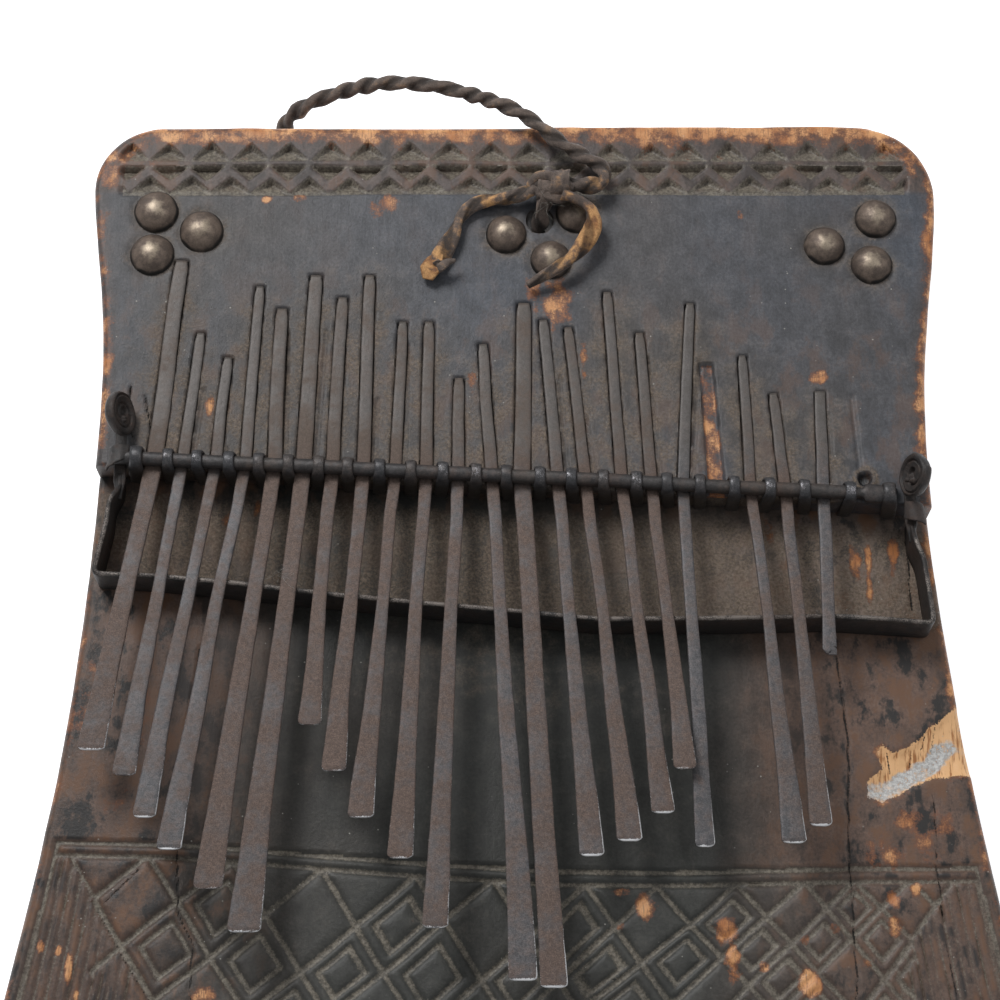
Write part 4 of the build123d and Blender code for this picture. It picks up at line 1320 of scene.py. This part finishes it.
def cut_away(piece, tube, look):
    """Cuts a lofted solid out of a piece."""
    count = tube.shape[0] * tube.shape[1]
    # The cutter's faces carry that dark tone, painted shade inside the cut, and some dust.
    inside = {"base": np.tile(SHADED_CUT_TONE, (count, 1)), "dust": np.full(count, 0.4), "bare": np.zeros(count)}
    inside.update({key: np.zeros(count) for key in ("line", "chip", "crack", "heart", "warmth")})
    cutter = lofts("cutter", [tube], look, inside, body=None)
    cut = piece.modifiers.new("cut", "BOOLEAN")
    cut.object = cutter
    cut.operation = "DIFFERENCE"
    cut.solver = "EXACT"
    depsgraph = bpy.context.evaluated_depsgraph_get()
    mesh = bpy.data.meshes.new_from_object(piece.evaluated_get(depsgraph))
    piece.modifiers.clear()
    piece.data = mesh
    bpy.data.objects.remove(cutter)
    mesh.shade_smooth()
    mesh.set_sharp_from_angle(angle=math.radians(70))
    # Points that the cut made are white until they get the cut's dark tone, painted shade like the rest of
    # the inside.
    base = np.empty(len(mesh.vertices) * 4, np.float32)
    mesh.attributes["base"].data.foreach_get("color", base)
    base = base.reshape(-1, 4)
    base[base[:, 0] > 0.9, :3] = SHADED_CUT_TONE
    mesh.attributes["base"].data.foreach_set("color", base.ravel())


def upright_tube(plan, lows, highs):
    """A prism between two heights as two rings."""
    bottom = np.concatenate([plan, np.full((len(plan), 1), lows)], 1)
    top = np.concatenate([plan, np.full((len(plan), 1), highs)], 1)
    return np.stack([bottom, top])


def build_body():
    length = FAR_Y - step_line(0)
    along = spaced(0, length, 0.56) / length
    rows, fields = body_part(step_line, far_edge, along, 0.52, upper_surface)
    head = lofts("body_head", [rows], WOOD, fields, slot="dark_hardwood", replaces=["sound_board"])
    circle = np.linspace(0, 2 * np.pi, 40, endpoint=False)
    plan = np.stack([HOLE[0] + HOLE_RADIUS * np.cos(circle), HOLE[1] + HOLE_RADIUS * np.sin(circle)], 1)
    cut_away(head, upright_tube(plan, 0, FACE_Z + 5), WOOD)

    # The rings are closer along the carved field than between it and the step.
    length = step_line(0) - NEAR_Y
    field = CARVED_TO_Y - NEAR_Y
    along = np.concatenate([spaced(0, field, 0.60)[:-7], spaced(field, length, 0.95)[7:]]) / length
    rows, fields = body_part(near_edge, step_line, along, 0.72, lower_surface)
    belly = lofts("body_sound_board", [rows], WOOD, fields, slot="dark_hardwood")
    corners = [
        (-HOLLOW_HALF_INNER, HOLLOW_END_Y),
        (HOLLOW_HALF_INNER, HOLLOW_END_Y),
        (HOLLOW_HALF_MOUTH, NEAR_Y - 3),
        (-HOLLOW_HALF_MOUTH, NEAR_Y - 3),
    ]
    plan = rounded_plan(corners, (HOLLOW_CORNER, HOLLOW_CORNER, 0, 0))
    cut_away(belly, upright_tube(plan, *HOLLOW_Z), WOOD)


build_body()

# ---------------------------------------------------------------- iron
def rounded_ring(count, squareness):
    """Points round a rounded rectangle from -1 to 1, with the direction of each."""
    angle = np.linspace(0, 2 * np.pi, count, endpoint=False) + np.pi / count
    c, s = np.cos(angle), np.sin(angle)
    power = 2.0 / squareness
    return np.sign(c) * np.abs(c) ** power, np.sign(s) * np.abs(s) ** power


def flat_strip(line, across, width, thickness, seed, squareness=4.0, ring=16, dents=0.05):
    """Rows of a hammered flat strip along a line. across is the direction of its width."""
    line = np.asarray(line, float)
    count = len(line)
    across, up = strip_directions(line, across)
    along = np.concatenate([[0], np.cumsum(np.linalg.norm(np.diff(line, axis=0), axis=1))])[:, None]
    u, v = rounded_ring(ring, squareness)
    half = np.broadcast_to(np.asarray(width, float).reshape(-1, 1) / 2, (count, 1))
    thick = np.broadcast_to(np.asarray(thickness, float).reshape(-1, 1) / 2, (count, 1))
    left = 1 + dents * rough(along, 0 * along + 3, 5.0, seed, 3)
    right = 1 + dents * rough(along, 0 * along + 90, 5.0, seed + 1, 3)
    wide = half * u * np.where(u < 0, left, right)
    tall = thick * v * (1 + 1.2 * dents * rough(along, wide * 1.5 + 40 * (v > 0), 2.6, seed + 2, 3))
    return line[:, None, :] + wide[..., None] * across[:, None, :] + tall[..., None] * up[:, None, :]


def tine_rows(number):
    """y, centre x, half width, lowest and highest z along a tine from its tail's end to its tip."""
    rows = []
    for part in ("tail", "tongue"):
        node = f"tine_{number:02d}_{part}"
        low, high = box_mm(node)
        ys = np.append(np.arange(high[1] - 0.02, low[1] + 0.05, -0.8), low[1] + 0.02)
        low_x, high_x, low_z, high_z = slices(node, ys).T
        rows.append(np.column_stack([ys, (low_x + high_x) / 2, (high_x - low_x) / 2, low_z, high_z]))
    return np.concatenate(rows)


# How bright each tine's filed tip is, and how brown the tine is, from left to right.
BRIGHT_TIPS = (0.55, 0.30, 0.75, 0.85, 0.25, 0.55, 0.30, 0.35, 0.65, 0.45, 0.55, 0.95, 0.80, 0.95, 1.0, 0.9,
               0.35, 0.80, 0.75, 0.95, 0.10)
BROWN_TINES = (0.55, 0.30, 0.30, 0.30, 0.60, 0.60, 0.60, 0.62, 0.55, 0.55, 0.48, 0.35, 0.55, 0.40, 0.55, 0.50,
               0.60, 0.05, 0.30, 0.50, 0.10)
TINE_RING = 20  # points round a tine
TINE_SQUARENESS = 5.0
BROKEN_TINE = 21  # its tip is square and nicked


def build_tine(number):
    rows = tine_rows(number)
    seed = 200 + 7 * number
    ys = np.arange(rows[0, 0], rows[-1, 0], -0.8)
    close = rows[-1, 0] + np.array([1.7, 1.5, 1.35, 1.2, 1.0, 0.7, 0.45, 0.25, 0.1, 0.0])
    ys = np.concatenate([ys[ys > close[0] + 0.2], close])
    x, half, low, high = (np.interp(-ys, -rows[:, 0], rows[:, k]) for k in range(1, 5))
    middle = softened((low + high) / 2, 3.0)
    # Forged bars aren't quite straight, but each one stays in its groove and keeps its place at the tip.
    free = smooth_step(0, 14, ys[0] - ys) * smooth_step(0, 20, ys - ys[-1])
    away_from_bar = smooth_step(4, 12, np.abs(ys - bar_line(x)))
    x = x + 0.28 * lumps(ys, 0 * ys, 26.0, seed) * free * away_from_bar
    middle = middle + 0.16 * lumps(ys, 0 * ys, 21.0, seed + 1) * free * away_from_bar
    to_tip = ys - ys[-1]
    corner = 0.85 if number != BROKEN_TINE else 0.15
    rounding = rim_drop(to_tip, corner) * 0.8
    crown = smooth_step(2.5, 0.0, ys[0] - ys)
    width = 2 * (half - rounding - 0.35 * crown)
    if number == BROKEN_TINE:
        # A small piece is broken out of the left of this square tip.
        half = np.where(to_tip < 2.0, np.interp(-(ys[-1] + 2.0), -ys, half), half)
        nick = smooth_step(1.55, 1.30, to_tip)
        width = 2 * (half + 0.1) - 1.3 * nick
        x = x + 0.65 * nick
    thickness = (high - low) * (1 - 0.35 * smooth_step(1.6, 0.0, to_tip))
    line = np.stack([x, ys, middle], 1)
    strip = flat_strip(line, (1, 0, 0), width, thickness, seed + 2, TINE_SQUARENESS, TINE_RING, 0.045)
    u, v = rounded_ring(TINE_RING, TINE_SQUARENESS)
    top = np.broadcast_to(v > 0, (len(line), TINE_RING))
    brown = BROWN_TINES[number - 1]
    share = (ys[:, None] - ys[-1]) / (ys[0] - ys[-1])
    rust = brown + 0.26 * rough(x[:, None] + u, ys[:, None], 9.0, seed + 3, 3) + 0.10 * (1 - share)
    near_bar = np.exp(-(((ys - bar_line(x)) / 7.0) ** 2))[:, None]
    rust = rust + 0.28 * near_bar + 0 * u - 0.30 * smooth_step(40, 54, ys)[:, None]
    tip = BRIGHT_TIPS[number - 1]
    nicks = 0.85 + 0.35 * rough(x[:, None] + u * 3, 0 * u, 1.5, seed + 6, 2)
    end_rim = smooth_step(0.75, 0.05, to_tip)[:, None] * nicks
    side = smooth_step(22, 3, to_tip)[:, None] * smooth_step(0.86, 0.99, u)
    side = side * (0.75 + 0.5 * rough(ys[:, None], 0 * u, 5.0, seed + 7, 2))
    uneven = 1 + rough(ys[:, None], 40 * np.sign(u), 9.0, seed + 4, 2)
    long_side = 0.22 * smooth_step(0.86, 1.0, np.abs(u)) * uneven
    rubbed = tip * np.maximum(end_rim * 1.25, side) * 1.05 + long_side
    shine = 0.12 * smooth_step(16, 2, to_tip)[:, None] * tip
    rubbed = np.clip(rubbed + shine, 0, 1)
    buried = smooth_step(6, -2, ys[0] - ys)[:, None] * 0.25
    dirt = np.where(top, 0.08 + 0.25 * rough(x[:, None] + u, ys[:, None], 14, seed + 5, 2), 0.50)
    dirt = (dirt + 0.5 * buried) * smooth_step(25, 45, ys[:, None]) + 0.10
    fields = {"rust": rust.ravel(), "rubbed": rubbed.ravel(), "dirt": dirt.ravel()}
    tail, tongue = f"tine_{number:02d}_tail", f"tine_{number:02d}_tongue"
    piece = lofts(f"tine_{number:02d}_strip", [strip], TINE_IRON, fields, body=None, slot="tine_iron",
                  replaces=[tail, tongue])
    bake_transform(piece)


for tine_number in range(1, TINE_COUNT + 1):
    build_tine(tine_number)


def iron_fields(made):
    """The fields of an iron piece, from the rust, rubbed and dirt numbers of each of its tubes."""
    return {key: np.concatenate(parts) for key, parts in zip(("rust", "rubbed", "dirt"), zip(*made))}


def hoop(x, width, thickness, seed):
    """Rows of one hoop: up in front of the bar, over it and down behind it."""
    reach = BAR_RADIUS + 0.05 + thickness / 2
    turn = np.linspace(-np.pi / 2, np.pi / 2, 19)
    legs = np.arange(18.0, BAR_Z - 0.3, 1.0)
    lean = 0.35 * chance(seed, 81)
    y = np.concatenate([np.full(len(legs), -1.0), np.sin(turn), np.full(len(legs), 1.0)]) * reach
    z = np.concatenate([legs, BAR_Z + np.cos(turn) * (reach + 0.05), legs[::-1]])
    # The legs draw in to the wood a little under the bar.
    line = np.stack([x + lean * (z - FACE_Z) * 0.25, bar_line(x) + y, z], 1)
    over = smooth_step(BAR_Z - 1.0, BAR_Z + 2.4, z)
    wide = width * (1.14 - 0.22 * over)
    thick = thickness * (1 + 0.2 * over)
    return flat_strip(softened(line, 0.8), (1, -0.05, 0), wide, thick, 300 + seed, 2.6, 18, 0.09)


def build_bar():
    xs = np.linspace(bar_low[0] + 0.05, bar_high[0] - 0.05, 420)
    y = bar_line(xs) + 0.16 * lumps(xs, 0 * xs, 24, 91)
    z = BAR_Z + 0.10 * lumps(xs, 0 * xs, 19, 92)
    thin = smooth_step(81.8, 82.8, xs) * smooth_step(84.4, 83.6, xs)
    pinched = smooth_step(83.6, 84.6, xs) * smooth_step(89.2, 88.2, xs)
    width = 2 * BAR_RADIUS * (1 - 0.26 * thin + 0.42 * pinched)
    height = 2 * BAR_RADIUS * (1 - 0.24 * thin - 0.10 * pinched)
    ends = 0.55 * smooth_step(0.9, 0.0, xs - xs[0]) + 0.55 * smooth_step(0.9, 0.0, xs[-1] - xs)
    square = flat_strip(np.stack([xs, y, z], 1), (0, 1, 0), width - ends, height - ends, 93, 2.35, 22, 0.05)
    rust = 0.12 + 0.30 * rough(xs[:, None], np.zeros((1, 22)), 8.0, 94, 3)
    rubbed = 0.10 + 0.14 * rough(xs[:, None], np.zeros((1, 22)) + 7, 4.0, 95, 3)
    dirt = 0.25 + 0.30 * rough(xs[:, None], np.zeros((1, 22)) + 3, 11.0, 96, 3)
    fields = {"rust": rust.ravel(), "rubbed": rubbed.ravel(), "dirt": dirt.ravel()}
    lofts("bar_rod", [square], BAR_IRON, fields, slot="forged_iron", replaces=["pressure_bar"])


def hoop_fields(tubes, shine):
    """Crowns are rubbed bright, which is wear and also a painted highlight; legs are dark with dirt."""
    made = []
    for k, tube in enumerate(tubes):
        z = tube[..., 2].ravel()
        crown = smooth_step(BAR_Z + 1.0, BAR_Z + 2.9, z)
        # Bright crowns: rubbed metal plus a painted highlight where the light falls on them.
        crown_wear_and_highlight = shine * (0.75 + 0.45 * chance(k, 82))
        rust = 0.18 + 0.28 * chance(k, 83) + 0 * z
        dirt = 0.20 + 0.45 * smooth_step(BAR_Z + 0.5, FACE_Z - 3, z)
        made.append((rust, crown * crown_wear_and_highlight + 0.04, dirt))
    return iron_fields(made)


def build_hoops():
    places = [(solid[:, 0].min() + solid[:, 0].max()) / 2 for solid in solids_of("bar_hoops")]
    tubes = [hoop(x, 2.7, 0.95, number) for number, x in enumerate(places)]
    fields = hoop_fields(tubes, 0.34)
    lofts("bar_hoop_bands", tubes, HOOP_IRON, fields, slot="hoop_iron", replaces=["bar_hoops"])
    for name, seed in (("end_hoop_left", 51), ("end_hoop_right", 52)):
        low, high = box_mm(name)
        tube = hoop((low[0] + high[0]) / 2, 3.2, 1.2, seed)
        fields = hoop_fields([tube], 0.30)
        lofts(name + "_band", [tube], HOOP_IRON, fields, slot="hoop_iron", replaces=[name])


STRAP_THICKNESS = 1.3
STRAP_TOP = FACE_Z + 3.0
TANG_REACH = (47.0, 31.2)
SCROLL_RADIUS = 5.4
SCROLL_THICKNESS = 2.6
SCROLL_PITCH = 2.1  # from one turn of the rolled strap to the next
SCROLL_LEAN = math.radians(62.0)
SCROLL_X = (-94.9, 96.0)
SCROLL_Z = FACE_Z + 5.5
# A torn flap curls out of the right arm, and a flattened leaf lies over the left rim.
FLAP = [(93.6, 23.6, 37.6), (94.8, 23.3, 38.5), (96.2, 23.0, 38.8), (97.6, 22.6, 38.2), (98.4, 22.2, 37.2)]
LEAF = [(-92.8, 38.2, 38.7), (-94.6, 38.0, 39.5), (-96.4, 37.4, 39.1), (-97.6, 36.4, 38.0),
        (-98.0, 35.4, 37.0)]


def strap_rows():
    """The strap on edge: both arms and the run across, with a wavy hammered top."""
    route = evened(LEFT_ARM + BRIDGE_RUN + RIGHT_ARM, 0.5)
    plan = softened(route, 2.2)
    heading = np.gradient(plan, axis=0)
    heading /= np.linalg.norm(heading, axis=1, keepdims=True)
    normal = np.stack([-heading[:, 1], heading[:, 0]], 1)
    along = np.arange(len(plan)) * 0.5
    top = STRAP_TOP - 0.12 + 0.16 * rough(along, 0 * along, 11, 401, 3)
    # At the back end of each arm the top edge runs down to where the strap lies flat.
    left_fall = smooth_step(26.5, 31.5, plan[:, 1]) * (plan[:, 0] < 0)
    right_fall = smooth_step(15.0, 20.5, plan[:, 1]) * (plan[:, 0] > 0)
    top = top - 2.7 * left_fall - 2.7 * right_fall
    levels = np.array([0.0, 0.2, 0.45, 0.7, 0.86, 0.95, 1.0])
    ring = []
    for side in (-1, 1):
        for level in levels if side < 0 else levels[::-1]:
            z = SOUND_Z + 0.02 + (top - SOUND_Z) * level
            thin = 1 - 0.30 * smooth_step(0.93, 1.0, level)
            bulge = 0.10 * rough(along, 0 * along + z * 1.0 + 30 * side, 8.0, 402, 3)
            shift = 0.35 * rough(along, 0 * along, 30.0, 403, 2) * level
            offset = side * STRAP_THICKNESS / 2 * thin + bulge + shift
            place = plan + normal * offset[:, None]
            ring.append(np.column_stack([place, z]))
    return np.stack(ring, 1)


def scroll_disc(side, x, y):
    """The end of the strap rolled into a disc: a spiral seam, a dimple and a worn rim."""
    centre = np.array([x, y, SCROLL_Z])
    axis = np.array([-side * math.sin(SCROLL_LEAN), 0, math.cos(SCROLL_LEAN)])
    across = np.array([math.cos(SCROLL_LEAN), 0, side * math.sin(SCROLL_LEAN)])
    along = np.cross(axis, across)
    turn = np.linspace(0, 2 * np.pi, 72, endpoint=False)
    half = SCROLL_THICKNESS / 2
    rings = []
    rim = SCROLL_RADIUS * (1 - 0.02 + 0.025 * lumps(np.cos(turn) * 2, np.sin(turn) * 2, 1.0, 411 + side))
    rim = rim * (1 - 0.05 * (np.cos(turn - 0.6) > 0.9))
    faces = [(r, 1) for r in np.linspace(0.03, 1.0, 34)] + [(r, -1) for r in np.linspace(1.0, 0.03, 12)]
    for r, face in faces:
        radius = rim * r
        height = half - rim_drop(SCROLL_RADIUS - r * SCROLL_RADIUS, 0.75)
        if face > 0:
            swirl = (r * SCROLL_RADIUS - SCROLL_PITCH * (turn * side) / (2 * np.pi)) / SCROLL_PITCH
            seam = np.abs((swirl % 1.0) - 0.5) * SCROLL_PITCH
            cut = 0.55 * smooth_step(0.42, 0.05, seam)
            height = height - cut * smooth_step(0.2, 0.4, r) * smooth_step(1.0, 0.9, r)
            u, v = radius * np.cos(turn), radius * np.sin(turn)
            height = height - 0.55 * smooth_step(0.85, 0.45, r)
            height = height - 1.1 * smooth_step(1.5, 0.6, np.hypot(u + side * 0.6, v - 0.7))
            height = height + 0.75 * smooth_step(1.1, 0.3, np.hypot(u + side * 0.4, v + 1.4))
            height = height + 0.08 * rough(u, v, 1.6, 412, 2)
        offset = face * height
        rings.append(
            centre
            + radius[:, None] * np.cos(turn)[:, None] * across
            + radius[:, None] * np.sin(turn)[:, None] * along
            + np.broadcast_to(offset, turn.shape)[:, None] * axis
        )
    return np.stack(rings)


def build_bridge():
    tubes = [strap_rows()]
    for side, x, start, reach, scroll_x in (
        (-1, LEFT_ARM[0][0], 27.5, TANG_REACH[0], SCROLL_X[0]),
        (1, RIGHT_ARM[-1][0], 16.5, TANG_REACH[1], SCROLL_X[1]),
    ):
        floor_z = FACE_Z - GROOVE_DEPTH + 0.65
        path = [(x, start, floor_z - 1.0), (x, start + 3.0, floor_z - 0.1), (x, start + 5.0, floor_z),
                (x, reach - 2.6, floor_z), (x, reach - 1.0, floor_z + 0.6), (x, reach - 0.5, floor_z + 2.0),
                ((x + scroll_x) / 2, reach - 0.6, SCROLL_Z - 1.6)]
        line = softened(evened(path, 0.4), 2.0)
        rise = smooth_step(floor_z, SCROLL_Z, line[:, 2])
        twisted = smooth_step(0, 5.0, line[:, 1] - start)
        width = 1.2 + 1.8 * twisted + 1.0 * rise
        tubes.append(flat_strip(line, (1, 0, 0), width, STRAP_THICKNESS, 420 + side, 4.0, 16, 0.06))
        tubes.append(scroll_disc(side, scroll_x, reach))
    for path, across, widths, thickness, seed, dents in (
        (FLAP, (-0.25, 1, 0), (4.2, 5.6), 0.6, 431, 0.04),
        (LEAF, (0.2, 1, 0), (3.4, 6.4), 0.7, 432, 0.05),
    ):
        line = softened(evened(path, 0.25), 2.0)
        width = np.linspace(*widths, len(line))
        tubes.append(flat_strip(line, across, width, thickness, seed, 5.0, 16, dents))
    made = []
    for k, tube in enumerate(tubes):
        x, y, z = tube.reshape(-1, 3).T
        # The top edge of the run across is rubbed and dusted lighter than the front: painted light on the lit
        # top edge, along with wear.
        top = smooth_step(STRAP_TOP - 0.9, STRAP_TOP - 0.1, z) if k == 0 else 0.25 + 0 * z
        rubbed = (0.62 if k == 0 else 0.40) * top * (0.9 + 0.5 * rough(x, y, 9, 442, 2))
        made.append((0.30 + 0.30 * rough(x, y + z, 16, 441, 3), rubbed, 0.12 + 0.15 * top))
    lofts("bridge_strap", tubes, SHADED_STRAP_IRON, iron_fields(made), slot="strap_iron", replaces=["bridge"])


build_bar()
build_hoops()
build_bridge()


# ---------------------------------------------------------------- tacks
def tack_dome(solid, seed):
    """A dented brass dome, from its rim to its crown, and how rubbed and how dirty each point is."""
    centre = (solid.min(0) + solid.max(0)) / 2
    radius = np.ptp(solid[:, 0]) / 2
    height = solid[:, 2].max() - FACE_Z
    ball = (radius**2 + height**2) / (2 * height)
    share = np.concatenate([[1.0, 1.0], np.sin(np.linspace(np.pi / 2, 0.02, 26))])
    turn = np.linspace(0, 2 * np.pi, 56, endpoint=False)
    r = share[:, None] * radius * (1 + 0.018 * lumps(np.cos(turn) * 2, np.sin(turn) * 2, 1.0, seed))
    x, y = centre[0] + r * np.cos(turn), centre[1] + r * np.sin(turn)
    z = FACE_Z + np.sqrt(np.maximum(ball**2 - (share[:, None] * radius) ** 2, 0)) - (ball - height)
    z = z + 0.14 * rough(x, y, 3.6, seed + 1, 2) * (1 - share[:, None] ** 4)
    z[0] = FACE_Z - 0.4
    fall = share[:, None] + 0 * turn
    rubbed = smooth_step(0.75, 0.1, fall) * (0.8 + 0.4 * rough(x, y, 3.0, seed + 2, 2))
    dirt = smooth_step(0.80, 1.0, fall) * (0.8 + 0.5 * rough(x, y, 2.0, seed + 3, 2))
    return np.stack([x, y, z], -1), rubbed.ravel(), dirt.ravel()


def build_tacks():
    for number, node in enumerate(TACK_NODES):
        made = [tack_dome(solid, 500 + 20 * number + 5 * k) for k, solid in enumerate(solids_of(node))]
        tubes, rubbed, dirt = zip(*made)
        fields = {"rubbed": np.concatenate(rubbed), "dirt": np.concatenate(dirt)}
        lofts(node + "_domes", list(tubes), BRASS, fields, slot="aged_brass", replaces=[node])


build_tacks()


# ---------------------------------------------------------------- lint
def wisp(start, heading, length, seed):
    """A hair-thin fibre that wanders from a place."""
    steps = int(length / 0.3)
    turns = np.stack([lumps(np.arange(steps) * 0.3, np.full(steps, 5.0 * k), 2.2, seed) for k in range(3)], 1)
    moves = np.array(heading, float) + 1.5 * turns
    moves /= np.linalg.norm(moves, axis=1, keepdims=True)
    line = np.array(start, float) + np.cumsum(moves * 0.3, 0)
    return flat_strip(line, (0.3, 0.2, 1), 0.06, 0.05, seed, 2.0, 6, 0.0)


def build_lint():
    # Wisps hang on the bridge between two tines, and in the middle of the knot.
    tubes = []
    for k in range(9):
        aim = (0.4 * math.cos(2.1 * k), -0.7 + 0.3 * math.sin(1.7 * k), 0.1)
        start = (-55.6 + 0.9 * math.cos(k), 8.6 - 0.4 * k, 40.8)
        tubes.append(wisp(start, aim, 3.0 + (k % 4) * 1.2, 600 + k))
    for k in range(9):
        aim = (math.cos(0.9 * k), -0.6 + math.sin(1.3 * k), 0.25)
        start = (9.0 + 1.1 * math.cos(2 * k), 103.5 + 0.7 * math.sin(k), 41.2)
        tubes.append(wisp(start, aim, 3.5 + (k % 3) * 1.4, 620 + k))
    lofts("lint_wisps", tubes, LINT)


build_lint()

# ---------------------------------------------------------------- room
FLOOR_HALF = 3000.0
FLOOR_LOOK = Look("pale_floor").finish(
    (0.90, 0.92, 0.95), 0.9, Emission_Color=(1.0, 1.0, 1.0, 1.0), Emission_Strength=0.80
)
floor = mesh_object(
    "floor",
    [(x * FLOOR_HALF, y * FLOOR_HALF, 0) for x, y in ((-1, -1), (1, -1), (1, 1), (-1, 1))],
    [(0, 1, 2, 3)],
    FLOOR_LOOK,
    body=None,
)

world = bpy.data.worlds.new("studio")
world.use_nodes = True
world.node_tree.nodes["Background"].inputs["Color"].default_value = (0.94, 0.97, 1.0, 1.0)
world.node_tree.nodes["Background"].inputs["Strength"].default_value = 0.30
scene.world = world


def softbox(name, place, size, power):
    """A square area light that points at the middle of the mbira."""
    light = bpy.data.lights.new(name, "AREA")
    light.size = size * MM
    light.energy = power
    holder = bpy.data.objects.new(name, light)
    holder.location = Vector(place) * MM
    holder.rotation_mode = "QUATERNION"
    holder.rotation_quaternion = (holder.location - CAMERA_TARGET).to_track_quat("Z", "Y")
    scene.collection.objects.link(holder)


softbox("key", (-420, 620, 900), 420, 8.5)
softbox("fill", (650, 150, 800), 600, 1.5)
